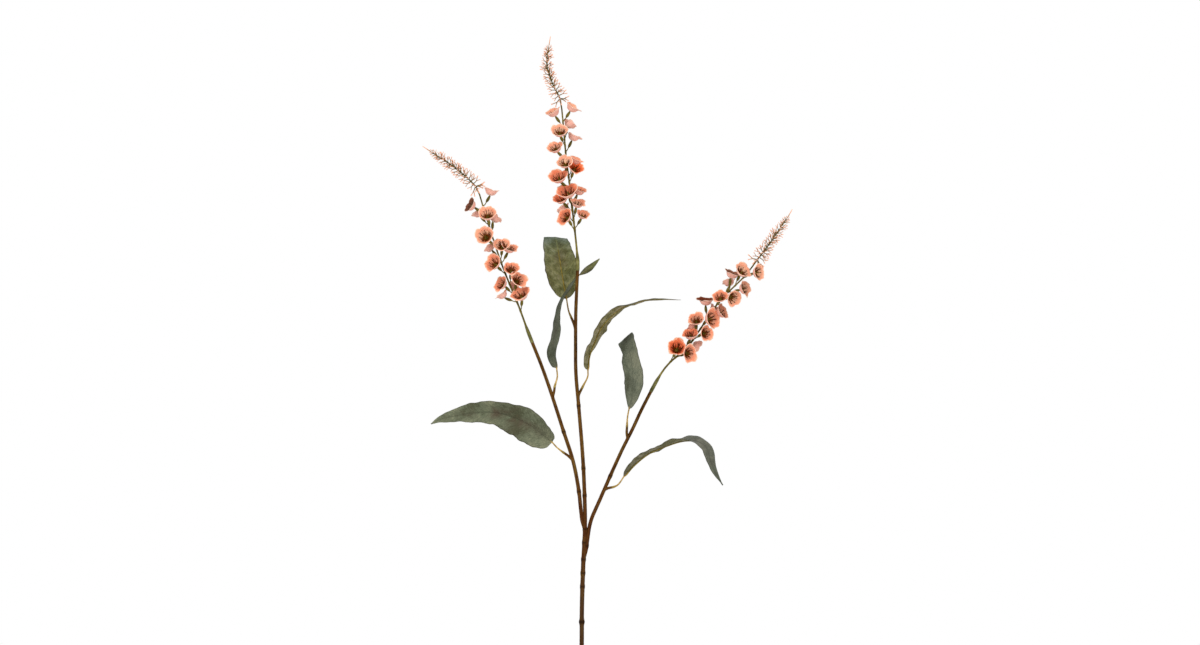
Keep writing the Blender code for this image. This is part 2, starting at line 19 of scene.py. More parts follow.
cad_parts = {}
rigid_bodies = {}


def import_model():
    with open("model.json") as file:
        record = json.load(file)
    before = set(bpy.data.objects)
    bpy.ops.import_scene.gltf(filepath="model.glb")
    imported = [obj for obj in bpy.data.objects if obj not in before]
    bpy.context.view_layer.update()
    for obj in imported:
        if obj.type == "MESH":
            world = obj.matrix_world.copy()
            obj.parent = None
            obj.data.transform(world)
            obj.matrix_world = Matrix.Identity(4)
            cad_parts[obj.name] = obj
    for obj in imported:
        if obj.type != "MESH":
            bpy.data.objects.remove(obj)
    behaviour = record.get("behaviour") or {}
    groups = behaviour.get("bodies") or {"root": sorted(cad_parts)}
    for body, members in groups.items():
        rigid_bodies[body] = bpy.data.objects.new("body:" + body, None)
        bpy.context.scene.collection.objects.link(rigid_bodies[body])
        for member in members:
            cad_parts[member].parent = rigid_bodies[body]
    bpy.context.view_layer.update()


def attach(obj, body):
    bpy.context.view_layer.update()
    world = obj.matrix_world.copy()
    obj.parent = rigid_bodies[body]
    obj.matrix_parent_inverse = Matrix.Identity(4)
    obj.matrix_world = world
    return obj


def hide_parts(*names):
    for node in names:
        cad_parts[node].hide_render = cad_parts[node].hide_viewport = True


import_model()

MM = 0.001

# %% [markdown]
# ## The camera
# The picture we work towards was taken from straight ahead, level with the middle of the spray and from
# some way off, so its lines hardly converge. A long lens at four metres gives that. It takes in 1.5 metres
# across, which leaves the vase just below the picture.

# %% Set the camera
VIEW_WIDTH = 1.5
VIEW_DISTANCE = 4
VIEW_CENTRE = (0.0275, 0.6631)
SENSOR = 36

camera = bpy.data.objects.new("camera", bpy.data.cameras.new("camera"))
camera.data.sensor_width = SENSOR
camera.data.lens = SENSOR * VIEW_DISTANCE / VIEW_WIDTH
camera.location = (VIEW_CENTRE[0], -VIEW_DISTANCE, VIEW_CENTRE[1])
camera.rotation_euler = (math.pi / 2, 0, 0)
bpy.context.scene.collection.objects.link(camera)
bpy.context.scene.camera = camera
print("lens", camera.data.lens, "mm")

# %% [markdown]
# ## Small tools for nodes
# Every material and every shape tree below is a set of nodes. One function gives a socket its value or its
# link, and one adds a node with its settings and its inputs. Another turns the colours, which we write as
# they look on a screen, into the linear light that Blender reckons with. The last two set or link what a
# material's shader takes, and start a material with the few numbers that are the same all over it.

# %% Add a node, read a colour, start a material
def linear(colour):
    """An sRGB hex colour as linear red, green, blue and alpha."""
    channels = (int(colour[i:i + 2], 16) / 255 for i in (1, 3, 5))
    return (*(c / 12.92 if c <= 0.04045 else ((c + 0.055) / 1.055) ** 2.4 for c in channels), 1)


def feed(tree, socket, value):
    """Gives a socket a plain value, or a link from another socket or from the first live output of a node."""
    if isinstance(value, bpy.types.Node):
        value = next(s for s in value.outputs if s.enabled)
    if isinstance(value, bpy.types.NodeSocket):
        tree.links.new(value, socket)
    else:
        socket.default_value = value


def add(tree, kind, *inputs, stops=(), **settings):
    """A new node. Its kind is written without the ShaderNode, GeometryNode or FunctionNode before it.

    Its inputs are given in their order, or by name in a dict. Stops fill its colour ramp.
    """
    words = ("ShaderNode", "GeometryNode", "FunctionNode")
    node = tree.nodes.new(next(word + kind for word in words if hasattr(bpy.types, word + kind)))
    for name, value in settings.items():
        setattr(node, name, value)
    for k, value in enumerate(inputs):
        if isinstance(value, dict):
            for name, part in value.items():
                feed(tree, next(s for s in node.inputs if s.enabled and s.name == name), part)
        else:
            feed(tree, node.inputs[k], value)
    for k, (place, colour) in enumerate(stops):
        stop = node.color_ramp.elements[k] if k < 2 else node.color_ramp.elements.new(place)
        stop.position = place
        stop.color = linear(colour)
    return node


def shade(material, **looks):
    """Sets or links inputs of a material's shader. An underscore stands for a space in their names."""
    tree = material.node_tree
    for label, value in looks.items():
        feed(tree, tree.nodes["Principled BSDF"].inputs[label.replace("_", " ")], value)


def start_material(name, **numbers):
    """A material and its node tree, with the numbers that are the same all over it."""
    material = bpy.data.materials.new(name)
    material.use_nodes = True
    shade(material, **numbers)
    return material, material.node_tree


print("a mid grey is", round(linear("#808080")[0], 3), "in linear light")

# %% [markdown]
# ## Smooth lines
# Stems, stalks and midribs are all smooth lines through a few measured points. We draw each as a
# Catmull-Rom curve, which passes through its points, and walk along it by distance.

# %% Walk along a smooth line
def smooth(points, pieces):
    """A Catmull-Rom curve through points in millimetres, each span in a few pieces, as points in metres."""
    spots = [Vector(p) * MM for p in points]
    ends = [2 * spots[0] - spots[1], *spots, 2 * spots[-1] - spots[-2]]
    line = []
    for a, b, c, d in zip(ends, ends[1:], ends[2:], ends[3:]):
        for k in range(pieces):
            t = k / pieces
            line.append(0.5 * (2 * b + (c - a) * t + (2 * a - 5 * b + 4 * c - d) * t**2
                               + (3 * b - a - 3 * c + d) * t**3))
    return [*line, spots[-1]]


def on_line(line, distance):
    """The place and the direction at a distance along a line of points."""
    for start, end in zip(line, line[1:]):
        length = (end - start).length
        if distance <= length or end is line[-1]:
            way = (end - start).normalized()
            return start + way * distance, way
        distance -= length


def length_of(line):
    return sum((b - a).length for a, b in zip(line, line[1:]))


def between(values, share):
    """The value at a share of the way along a row of evenly spaced numbers or vectors."""
    place = min(max(share, 0), 1) * (len(values) - 1)
    first = min(int(place), len(values) - 2)
    return values[first] + (values[first + 1] - values[first]) * (place - first)


print("a straight 10 mm line measures", round(length_of(smooth([(0, 0, 0), (0, 0, 10)], 4)) / MM, 2), "mm")

# %% [markdown]
# ## From a rule to a mesh
# Geometry Nodes make what repeats here and what follows a path: the skin of every stem, the bristles, the
# bells and the leaf blades. A tree reads its measurements from points that carry them as named attributes.
# So one function writes such points, two begin and end a tree, and two run a tree on its points and keep
# the result as a plain mesh. The last one hands a finished piece to the model.

# %% Write points, run a tree, hand over a piece
def carriers(name, runs):
    """A mesh of bare points, each run of them joined by edges. Each point is (place, {attribute: value})."""
    flat = [point for run in runs for point in run]
    edges = []
    first = 0
    for run in runs:
        edges += [(first + k, first + k + 1) for k in range(len(run) - 1)]
        first += len(run)
    mesh = bpy.data.meshes.new(name)
    mesh.from_pydata([place for place, _ in flat], edges, [])
    for label, sample in flat[0][1].items():
        kind, field = ("FLOAT_VECTOR", "vector") if isinstance(sample, Vector) else ("FLOAT", "value")
        attribute = mesh.attributes.new(label, kind, "POINT")
        for slot, (_, values) in zip(attribute.data, flat):
            setattr(slot, field, values[label])
    return bpy.data.objects.new(name, mesh)


def start_tree(name, **sizes):
    """A geometry tree with named inputs, and the sockets that give them."""
    tree = bpy.data.node_groups.new(name, "GeometryNodeTree")
    for label, kind in {"Geometry": "Geometry", **sizes, "Material": "Material"}.items():
        tree.interface.new_socket(label.replace("_", " "), in_out="INPUT", socket_type="NodeSocket" + kind)
    tree.interface.new_socket("Geometry", in_out="OUTPUT", socket_type="NodeSocketGeometry")
    return tree, tree.nodes.new("NodeGroupInput").outputs


def end_tree(tree, shape):
    """Ends a tree: its copies become real geometry, in the material that it was given."""
    covered = add(tree, "SetMaterial", {"Geometry": add(tree, "RealizeInstances", shape),
                                        "Material": tree.nodes["Group Input"].outputs["Material"]})
    feed(tree, tree.nodes.new("NodeGroupOutput").inputs[0], covered)
    print("the tree", tree.name, "has", len(tree.nodes), "nodes")


def settle(holder, name):
    """What an object evaluates to, as a plain mesh object. The holder is removed."""
    bpy.context.scene.collection.objects.link(holder)
    graph = bpy.context.evaluated_depsgraph_get()
    mesh = bpy.data.meshes.new_from_object(holder.evaluated_get(graph))
    holder.modifiers.clear()
    bpy.data.objects.remove(holder)
    mesh.name = name
    return bpy.data.objects.new(name, mesh)


def run_tree(name, runs, tree, **values):
    """The result of a tree on runs of points. Each value goes in by its socket's identifier."""
    holder = carriers(name + "_points", runs)
    modifier = holder.modifiers.new("Shape", "NODES")
    modifier.node_group = tree
    sockets = [s for s in tree.interface.items_tree if s.in_out == "INPUT"]
    for label, value in values.items():
        socket = next(s for s in sockets if s.name == label.replace("_", " "))
        modifier[socket.identifier] = value
    return settle(holder, name)


def hand_over(piece, node):
    """Puts a finished piece in the scene, riding on the model in place of one of its solids."""
    bpy.context.scene.collection.objects.link(piece)
    piece.data.shade_smooth()
    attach(piece, "root")
    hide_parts(node)
    print(piece.name, len(piece.data.polygons), "faces")


# %% [markdown]
# ## The tree for stems
# A moulded stem is a round tube whose thickness swells at each node and whose skin has a shallow long
# grain, like bark. The tree sweeps a circle along each line of points, as thick as each point says, and
# lifts the skin by a noise that is stretched along the stem. It also keeps where on the skin each point is,
# so that the paint can follow the stem round its bends.

# %% Build the stem tree
tree, given = start_tree("Stem skin", Sides="Int", Grain_height="Float", Grain_length="Float", Seed="Float")
line = add(tree, "MeshToCurve", given["Geometry"])
gone = add(tree, "SplineParameter").outputs["Length"]
line = add(tree, "StoreNamedAttribute", {"Geometry": line, "Name": "along", "Value": gone},
           data_type="FLOAT", domain="POINT")
circle = add(tree, "CurvePrimitiveCircle", {"Resolution": given["Sides"], "Radius": 1.0})
place = add(tree, "InputPosition")
circle = add(tree, "StoreNamedAttribute", {"Geometry": circle, "Name": "ring", "Value": place},
             data_type="FLOAT_VECTOR", domain="POINT")
thick, along = (add(tree, "InputNamedAttribute", {"Name": name}, data_type="FLOAT")
                for name in ("radius", "along"))
ring = add(tree, "InputNamedAttribute", {"Name": "ring"}, data_type="FLOAT_VECTOR")
skin = add(tree, "CurveToMesh", {"Curve": line, "Profile Curve": circle, "Scale": thick, "Fill Caps": True})
steps = add(tree, "Math", along, given["Grain length"], operation="DIVIDE")
steps = add(tree, "Math", steps, given["Seed"], operation="ADD")
grain_at = add(tree, "VectorMath", ring, add(tree, "CombineXYZ", {"Z": steps}), operation="ADD")
grain = add(tree, "TexNoise", grain_at, {"Scale": 1.6, "Detail": 3.0})
lift = add(tree, "Math", grain, 0.5, operation="SUBTRACT")
lift = add(tree, "Math", lift, given["Grain height"], operation="MULTIPLY")
outwards = add(tree, "VectorMath", add(tree, "InputNormal"), {"Scale": lift}, operation="SCALE")
skin = add(tree, "SetPosition", {"Geometry": skin, "Offset": outwards})
end_tree(tree, skin)
stem_tree = tree

# %% [markdown]
# ## The tree for whorls
# Bells, their stamens and the bristles of the tips all do the same: copies of one small shape stand round
# an axis and lean out from it. Each point says its axis, its outward side, its lean, its turn and its size.
# The tree repeats the point, turns each copy round the axis by an even share with a little stray, leans it
# out, and puts one of the given shapes there. The point's variant says which.

# %% Build the whorl tree
tree, given = start_tree("Whorls", Shapes="Collection", Copies="Int", Turn_stray="Float", Lean_stray="Float",
                         Size_stray="Float", Seed="Int")
copies = add(tree, "DuplicateElements", {"Geometry": given["Geometry"], "Amount": given["Copies"]},
             domain="POINT")
axis, side = (add(tree, "InputNamedAttribute", {"Name": name}, data_type="FLOAT_VECTOR")
              for name in ("axis", "side"))
lean, turn, size, variant = (add(tree, "InputNamedAttribute", {"Name": name}, data_type="FLOAT")
                             for name in ("lean", "turn", "size", "variant"))
strays = []
for k, reach in enumerate(("Turn stray", "Lean stray", "Size stray")):
    seed = add(tree, "Math", given["Seed"], k, operation="ADD")
    lowest = add(tree, "Math", given[reach], -1, operation="MULTIPLY")
    strays.append(add(tree, "RandomValue", {"Min": lowest, "Max": given[reach], "Seed": seed},
                      data_type="FLOAT"))
share = add(tree, "Math", copies.outputs["Duplicate Index"], given["Copies"], operation="DIVIDE")
turn = add(tree, "Math", share, math.tau, turn, operation="MULTIPLY_ADD")
turn = add(tree, "Math", turn, strays[0], operation="ADD")
lean = add(tree, "Math", lean, strays[1], operation="ADD")
size = add(tree, "Math", size, strays[2], size, operation="MULTIPLY_ADD")
outward = add(tree, "VectorRotate", {"Vector": side, "Axis": axis, "Angle": turn}, rotation_type="AXIS_ANGLE")
hinge = add(tree, "VectorMath", axis, outward, operation="CROSS_PRODUCT")
ahead, aside = (add(tree, "VectorRotate", {"Vector": way, "Axis": hinge, "Angle": lean},
                    rotation_type="AXIS_ANGLE") for way in (axis, outward))
stance = add(tree, "AxesToRotation", {"Primary Axis": ahead, "Secondary Axis": aside}, primary_axis="Z",
             secondary_axis="X")
shapes = add(tree, "CollectionInfo",
             {"Collection": given["Shapes"], "Separate Children": True, "Reset Children": True})
stood = add(tree, "InstanceOnPoints", {"Points": copies, "Instance": shapes, "Pick Instance": True,
                                       "Instance Index": variant, "Rotation": stance, "Scale": size})
end_tree(tree, stood)
whorl_tree = tree

# %% [markdown]
# ## Brown moulded stem
# The stem is polyethylene moulded over a wire and brushed with thin paint, so it is matt, brown with olive
# and red patches, golden and dark streaks, greyer low down, redder where it forks and dark in a ring round
# each node. The patches are noise that follows the stem, some 25 mm long, and the streaks a finer one, 1 mm
# wide and 8 mm long, drawn a little coarser than the real ones so that they show. One small function turns
# such a size into a pattern's scale.

# %% Material: painted polyethylene stem
def per_metre(size):
    """How many cells of a size in millimetres make a metre: the scale of a pattern on places in metres."""
    return 1 / (size * MM)


PATCH_LENGTH = 25
FORK_HEIGHT = 0.41

stem_paint, tree = start_material("painted_polyethylene_stem", Roughness=0.7, IOR=1.5,
                                  Specular_IOR_Level=0.04)
place = add(tree, "TexCoord").outputs["Object"]
along = add(tree, "Attribute", attribute_name="along").outputs["Fac"]
ring = add(tree, "Attribute", attribute_name="ring").outputs["Vector"]
drawn_out = add(tree, "Math", along, per_metre(PATCH_LENGTH), operation="MULTIPLY")
patch_at = add(tree, "VectorMath", ring, add(tree, "CombineXYZ", {"Z": drawn_out}), operation="ADD")
patches = add(tree, "TexNoise", patch_at, {"Scale": 1.0, "Detail": 3.0, "Roughness": 0.6})
brown = add(tree, "ValToRGB", patches, stops=[(0.25, "#2f1b0a"), (0.42, "#4e2f10"), (0.56, "#614019"),
                                              (0.68, "#5a4a24"), (0.8, "#612f18")])
streak_at = add(tree, "VectorMath", patch_at, (2.6, 2.6, 3.0), operation="MULTIPLY")
streaks = add(tree, "TexNoise", streak_at, {"Scale": 1.0, "Detail": 4.0, "Distortion": 0.6})
golden = add(tree, "MapRange", streaks, {"From Min": 0.54, "From Max": 0.7, "To Max": 0.7})
shady = add(tree, "MapRange", streaks, {"From Min": 0.46, "From Max": 0.34, "To Max": 0.7})
height = add(tree, "SeparateXYZ", place).outputs["Z"]
low = add(tree, "MapRange", height, {"From Min": 0.42, "From Max": 0.3, "To Max": 0.68})
from_fork = add(tree, "Math", height, -FORK_HEIGHT, operation="ADD")
from_fork = add(tree, "Math", from_fork, operation="ABSOLUTE")
forked = add(tree, "MapRange", from_fork, {"From Min": 0.06, "From Max": 0.03, "To Max": 0.5})
node = add(tree, "Attribute", attribute_name="node").outputs["Fac"]
colour = brown
for cover, coat in ((golden, "#7c6228"), (shady, "#1f1006"), (low, "#38261a"), (forked, "#431a0a"),
                    (node, "#1a0d06")):
    colour = add(tree, "Mix", {"Factor": cover, "A": colour, "B": linear(coat)}, data_type="RGBA")
bump = add(tree, "Bump", {"Strength": 0.6, "Distance": 0.4 * MM, "Height": streaks})
shade(stem_paint, Base_Color=colour, Normal=bump)
print(stem_paint.name, len(tree.nodes), "nodes")

# %% [markdown]
# ## The stem and its branches
# The stem is one moulding: a main stem, a centre branch that runs on from it, a left and a right branch
# that grow out of its sides, a stub for each leaf, and a short swelling with a dark, slightly waisted ring
# at each node. All of it is lines with a thickness at each point, so the stem tree makes it in one go. The
# lines are those of the solid model, and the nodes stand where the picture has them, as heights in
# millimetres.

# %% Measure the stem and its branches
STEM_RADIUS = 2.85 * MM
BRANCH_RADIUS = 2.5 * MM
BRANCH_END_RADIUS = 2.1 * MM
STUB_RADIUS = 1.9 * MM
STUB_END_RADIUS = 1.45 * MM
NODE_SWELL = 0.26
NODE_LENGTH = 2.2 * MM
RING_LENGTH = 1.2 * MM
RING_WAIST = 0.08
RING_DARK = 0.8
MERGE_LENGTH = 14 * MM
MERGE_SHARE = 0.3
STEM_STEP = 1 * MM
VASE_WALL = 5 * MM
GAP = 0.3 * MM

# A bell's numbers are its distance below the stalk's end in millimetres, the bearing and the lean of its
# footstalk, the bearing and the tilt of its mouth in degrees, and its size.
Branch = namedtuple("Branch", "name wood stalk tip knuckles bells")
Bell = namedtuple("Bell", "down side lean mouth tilt size")

MAIN_STEM = ((-3, 0, 5), (0.3, 0, 100), (3.4, 0, 205), (4.6, 0, 260), (4.9, 0, 307), (6.4, 0, 357),
             (8.8, 0, 412))
MAIN_KNUCKLES = (288, 290, 333, 350, 367, 388, 405)

CENTRE = Branch(
    "centre",
    ((8.8, 0, 412), (7.5, 0, 466), (5.1, 0, 507), (0.8, 0, 559), (-2.6, -1, 600), (-3, -1, 640),
     (-2.6, -2, 680), (-0.3, -2, 731)),
    ((-0.8, -2, 746), (-3.3, -3, 772), (-7, -5, 804), (-11, -8, 840), (-15, -11, 872), (-18.5, -14, 912)),
    ((-22, -17, 941), (-29.8, -19, 956), (-38.2, -20, 980), (-37.9, -21, 995), (-34, -22, 1019)),
    (447, 481, 559),
    ((28, -20, 16, -12, 38, 0.87), (34, -175, 8, -150, 24, 0.9), (50, 45, 0, 40, 45, 0.76),
     (58, -125, 8, -90, 40, 0.99), (66, 0, 8, 15, 30, 0.81), (76, -170, 16, -115, 35, 0.93),
     (96, 5, 8, -15, 32, 0.84), (98, -110, 0, -90, 40, 0.96), (104, -40, 8, -55, 50, 0.93),
     (112, -160, 24, -105, 35, 1.13), (134, 25, 8, -25, 28, 0.92), (136, -105, 0, -110, 35, 1.22),
     (140, -175, 16, -115, 35, 0.93), (150, -40, 0, -50, 35, 0.84), (154, 150, 8, 145, 40, 0.81),
     (162, -15, 16, -55, 40, 0.76), (164, -160, 0, -130, 58, 0.99)),
)
LEFT = Branch(
    "left",
    ((6.3, 0, 406), (3.8, -1, 427), (0.4, -2, 457), (-6.4, -4, 491), (-17.9, -7, 527), (-32.3, -11, 572),
     (-44.5, -14, 607), (-57.9, -18, 641)),
    ((-64, -20, 657), (-72.6, -22, 681), (-84.1, -25, 709), (-94.3, -28, 735), (-105.8, -32, 769),
     (-118, -36, 809)),
    ((-126, -39, 831), (-144.9, -41, 849), (-159.3, -42, 860), (-176.6, -43, 871), (-191.9, -44, 881)),
    (452, 527),
    ((26, 0, 24, 10, 30, 0.87), (36, -175, 16, -150, 46, 0.84), (50, 145, 8, 135, 30, 0.7),
     (56, -75, 0, -80, 40, 1.05), (62, 30, 0, 25, 55, 0.8), (78, -145, 8, -100, 55, 1.1),
     (96, -35, 8, -80, 45, 0.93), (96, 145, 0, 135, 35, 0.7), (100, -5, 24, -35, 42, 0.9),
     (114, -140, 8, -115, 45, 1.05), (128, -35, 8, -65, 48, 0.9), (142, -20, 8, -50, 70, 0.99),
     (142, -160, 0, -130, 44, 0.9), (150, 90, 0, 30, 60, 0.7), (152, -180, 24, 170, 15, 0.76),
     (164, -35, 8, -90, 30, 1.13)),
)
RIGHT = Branch(
    "right",
    ((9.4, 0, 370), (11.6, 0, 390), (16.1, 1, 415), (27.1, 2, 441), (52, 5, 497), (67.9, 7, 529),
     (79.6, 9, 554), (92.5, 10, 579)),
    ((104, 11, 599), (116, 12, 614), (141, 10, 637), (168, 6, 678), (184.6, 3, 698), (207.6, -2, 720)),
    ((223.5, -5, 741), (235, -7, 756), (249.8, -9, 777), (262.5, -10, 796), (267.3, -11, 804.5)),
    (384, 471),
    ((28, -45, 0, -48, 44, 0.93), (42, -150, 0, -105, 30, 1.02), (52, 175, 16, -166, 27, 0.9),
     (54, -20, 8, -50, 34, 0.9), (62, 115, 0, 155, 65, 0.76), (70, -50, 8, -48, 74, 0.98),
     (82, -90, 0, -125, 55, 0.88), (96, 175, 16, -160, 30, 0.9), (98, -10, 8, -45, 35, 0.9),
     (102, 85, 0, 55, 30, 0.76), (112, -90, 0, -48, 55, 1.18), (122, -155, 8, -125, 55, 0.93),
     (128, -50, 8, -58, 66, 0.9), (130, 175, 0, 170, 85, 0.7), (144, -130, 0, -140, 55, 0.92),
     (148, 65, 0, 25, 75, 0.8), (160, -62, 8, -62, 60, 1.0), (168, -145, 0, -115, 65, 1.08)),
)
BRANCHES = (CENTRE, LEFT, RIGHT)
print([len(branch.bells) for branch in BRANCHES], "bells")

# %% [markdown]
# ## The leaves' own measurements
# Each leaf has a stalk, a midrib in space, the ways that its upper side faces from base to tip, and the
# angles that its right and left halves turn up. One leaf folds over backwards and one curls back on itself,
# and three are turned so far about their midribs that they look narrow. Each also has its width, how uneven
# its edge is, how its colour differs from the shared one along its length, how rusty it is, where it is
# widest and how full, and how far up the midrib's wire runs. The stem needs the stalks' first points for
# its stubs, so these come before it.

# %% Measure the leaves
Leaf = namedtuple("Leaf", "name stalk midrib faces right left width uneven tones rust profile rib_run",
                  defaults=((0.55, 0.95), 0.86))

TO_FRONT = ((0, -1, 0), (0, -1, 0))
TO_BACK = ((0, 1, 0), (0, 1, 0))
OVER_THE_BACK = ((0, 1, 0), (0, 1, -0.3), (-0.12, 0.5, -1), (-0.12, -0.6, -1), (0, -1, -0.4))
CURLED_BACK = ((0, -1, 0), (0, -1, 0), (-0.1, -1, 0.3), (-0.6, 0, 1), (-0.5, 1, 0.6))

LEAVES = (
    Leaf(
        "left_long_leaf",
        ((-6.4, -4, 491), (-12, -5, 496.5), (-18.8, -6, 501.3), (-26, -7, 507), (-32.3, -8, 513.8)),
        ((-32.3, -8, 513.8), (-56.8, -12, 532.5), (-75, -15, 542.5), (-94.4, -17, 549), (-110.5, -18, 551),
         (-132, -18, 550), (-148.3, -17, 547.5), (-171, -15, 542.5), (-183, -14, 536.8)),
        TO_FRONT, (50, 37, 36, 5, 0), (20, 5, 36, 38, 20), 1.14, 0.32,
        ((1.2, 1.18, 1.29), (1.19, 1.18, 1.27)), (0.2, 0.4, 1, 1, 0.5, 0.3, 0.2), (0.48, 0.78),
    ),
    Leaf(
        "left_narrow_leaf",
        ((-31.6, -10.8, 570), (-29.8, -10, 577), (-28.9, -9.5, 583.8), (-25.8, -9, 595), (-26.6, -9, 606.5)),
        ((-26.6, -9, 606.5), (-30.5, -9, 630), (-28, -6, 655), (-22, 0, 685), (-12.5, 5, 706), (-1.6, 9, 720),
         (11.8, 10, 729), (27, 10, 743)),
        TO_FRONT, (84, 74, 68, 70, 76, 79, 78, 77, 94, 160, 170),
        (-48, -60, -67, -70, -76, -79, -78, -77, -94, -160, -170), 0.8, 0.14,
        ((0.86, 0.88, 1), (0.82, 0.85, 1)), (0.35, 0.35), (0.46, 0.7),
    ),
    Leaf(
        "centre_broad_leaf",
        ((-3, -1, 654), (-5, 1, 661), (-9.3, 5, 671.3), (-12.1, 10, 678.8), (-14.5, 16, 693)),
        ((-14.5, 16, 693), (-18.5, 21, 714), (-22, 26, 735), (-26, 33, 758), (-29, 46, 771), (-31, 61, 766),
         (-32, 74, 750), (-33, 84, 724)),
        OVER_THE_BACK, (8, 5, 8, 10, 10), (8, 0, 0, 10, 10), 1.02, 0.25,
        # The tones turn this blade darker and bluer over the top of its fold.
        ((0.94, 0.94, 1), (0.94, 0.94, 1), (0.94, 0.94, 1), (0.86, 0.93, 1.12), (0.64, 0.83, 1.5),
         (0.64, 0.83, 1.5), (0.94, 0.94, 1), (0.94, 0.94, 1)), (0.7, 0.7, 0.7, 0.3, 0, 0, 0.5), rib_run=0.43,
    ),
    Leaf(
        "centre_arching_leaf",
        ((0.3, -0.5, 566), (1.1, -2, 573), (6.4, -4, 583.8), (12, -6, 595), (12.4, -8, 604)),
        ((12.4, -8, 604), (13.5, -10, 620), (21, -13, 640), (31, -18, 660), (54, -24, 681), (80.9, -31, 690),
         (103, -36, 691.5), (127.5, -40, 691)),
        TO_BACK, (-66, -71, -71, -69, -66, -68, -82, -84, -81, -80, -86),
        (79, 79, 76, 71, 67, 68, 83, 84, 81, 80, 86), 0.8, 0.45,
        ((1.36, 1.24, 1.65), (1.36, 1.22, 1.55)), (0.3, 0.3), (0.5, 0.8),
    ),
    Leaf(
        "right_broad_leaf",
        ((62.3, 6.3, 517), (61, 4, 525), (61.3, 1, 535), (61.9, -2, 545), (63.8, -4, 555.6)),
        ((63.8, -4, 555.6), (68.5, -6, 575), (68.5, -6, 595), (67, -3, 615), (63, 4, 632), (59, 16, 642),
         (58, 30, 641), (61, 42, 626)),
        CURLED_BACK, (62, 56, 52, 53, 53, 46, 12, 0, 0),
        (-66, -57, -53, -54, -51, -42, -24, -5, 0), 1.02, 0.14,
        ((1.12, 1.1, 1.32), (1.06, 1.08, 1.32)), (0.1, 0.1), (0.68, 0.78),
    ),
    Leaf(
        "right_arching_leaf",
        ((33.1, 3, 454), (38, 1, 456), (44.1, -1, 457.5), (50.5, -3, 461), (57.5, -5, 471)),
        ((57.5, -5, 471), (69.5, -8, 485), (87.5, -12, 499.5), (107.5, -16, 508.5), (130, -20, 515.5),
         (148, -22, 515), (160, -23, 507), (165, -24, 491), (170, -25, 478), (180, -26, 461)),
        TO_BACK, (-68, -68, -68, -71, -76, -98, -140, -150, -150), (86, 84, 84, 88, 98, 128, 148, 155, 150),
        0.88, 0.4, ((0.93, 0.88, 1.26), (0.93, 0.88, 1.21), (0.88, 0.91, 1.12)), (0.35, 0.35),
    ),
)
STUB_POINTS = 3
print([leaf.name for leaf in LEAVES])

# %% [markdown]
# Each line is walked in even steps of 1 mm, fine enough for the nodes. Its radius runs evenly between the
# values given for it. A side branch starts thin inside the main stem and comes out to its full thickness
# over 14 mm, so that the two look grown together.

# %% Skin the stem
def even_run(points, radii, nodes=(), merges=False):
    """A line walked in even steps, as points that carry their radius. Nodes are heights in millimetres."""
    line = smooth(points, 12)
    whole = length_of(line)
    count = max(4, round(whole / STEM_STEP))
    run = []
    for k in range(count + 1):
        spot, _ = on_line(line, whole * k / count)
        radius = between(radii, k / count)
        if merges:
            out = min(1, whole * k / count / MERGE_LENGTH)
            radius *= MERGE_SHARE + (1 - MERGE_SHARE) * math.sin(math.pi / 2 * out)
        ring = 0
        for node in nodes:
            off = spot.z - node * MM
            ring += math.exp(-(off / RING_LENGTH) ** 2)
            radius += radius * NODE_SWELL * math.exp(-(off / NODE_LENGTH) ** 2)
        run.append((spot, {"radius": radius * (1 - RING_WAIST * ring), "node": RING_DARK * ring}))
    return run


foot = ((*MAIN_STEM[0][:2], (VASE_WALL + GAP) / MM), *MAIN_STEM[1:])
trunk_radii = [STEM_RADIUS] * 6
trunk_radii += [BRANCH_RADIUS + (BRANCH_END_RADIUS - BRANCH_RADIUS) * k / 4 for k in range(5)]
runs = [even_run((*foot, *CENTRE.wood[1:]), trunk_radii, (*MAIN_KNUCKLES, *CENTRE.knuckles))]
runs += [even_run(branch.wood, (BRANCH_RADIUS, BRANCH_END_RADIUS), branch.knuckles, merges=True)
         for branch in (LEFT, RIGHT)]
runs += [even_run(leaf.stalk[:STUB_POINTS], (STUB_RADIUS, STUB_END_RADIUS)) for leaf in LEAVES]
stem = run_tree("stem_skin", runs, stem_tree, Sides=14, Grain_height=0.3 * MM, Grain_length=5 * MM, Seed=3.0,
                Material=stem_paint)
hand_over(stem, "stem")

# %% [markdown]
# ## Olive plastic of the flower stalks
# The stalk that carries the bells, and the spindle under each bell, are softer olive polyethylene with a
# faint sheen. The colour drifts between brown olive and yellow olive in soft patches some 8 mm long, and
# the sleeve at the stalk's foot is greyer. The bump is finer grit, 1 mm across, as a mould leaves it.

# %% Material: olive polyethylene
olive, tree = start_material("olive_polyethylene", Roughness=0.6, IOR=1.5, Specular_IOR_Level=0.05)
place = add(tree, "TexCoord").outputs["Object"]
drift = add(tree, "TexNoise", place, {"Scale": per_metre(8.333), "Detail": 3.0})
olive_colour = add(tree, "ValToRGB", drift, stops=[(0.3, "#4a4216"), (0.5, "#685d24"), (0.72, "#877b3c")])
sleeve = add(tree, "Attribute", attribute_name="sleeve").outputs["Fac"]
grey_olive = add(tree, "ValToRGB", drift, stops=[(0.3, "#4b4e2e"), (0.5, "#61633c"), (0.72, "#7c7c54")])
olive_colour = add(tree, "Mix", {"Factor": sleeve, "A": olive_colour, "B": grey_olive}, data_type="RGBA")
fine = add(tree, "TexNoise", place, {"Scale": per_metre(1.111), "Detail": 2.0})
bump = add(tree, "Bump", {"Strength": 0.35, "Distance": 0.2 * MM, "Height": fine})
shade(olive, Base_Color=olive_colour, Normal=bump)
print(olive.name, len(tree.nodes), "nodes")

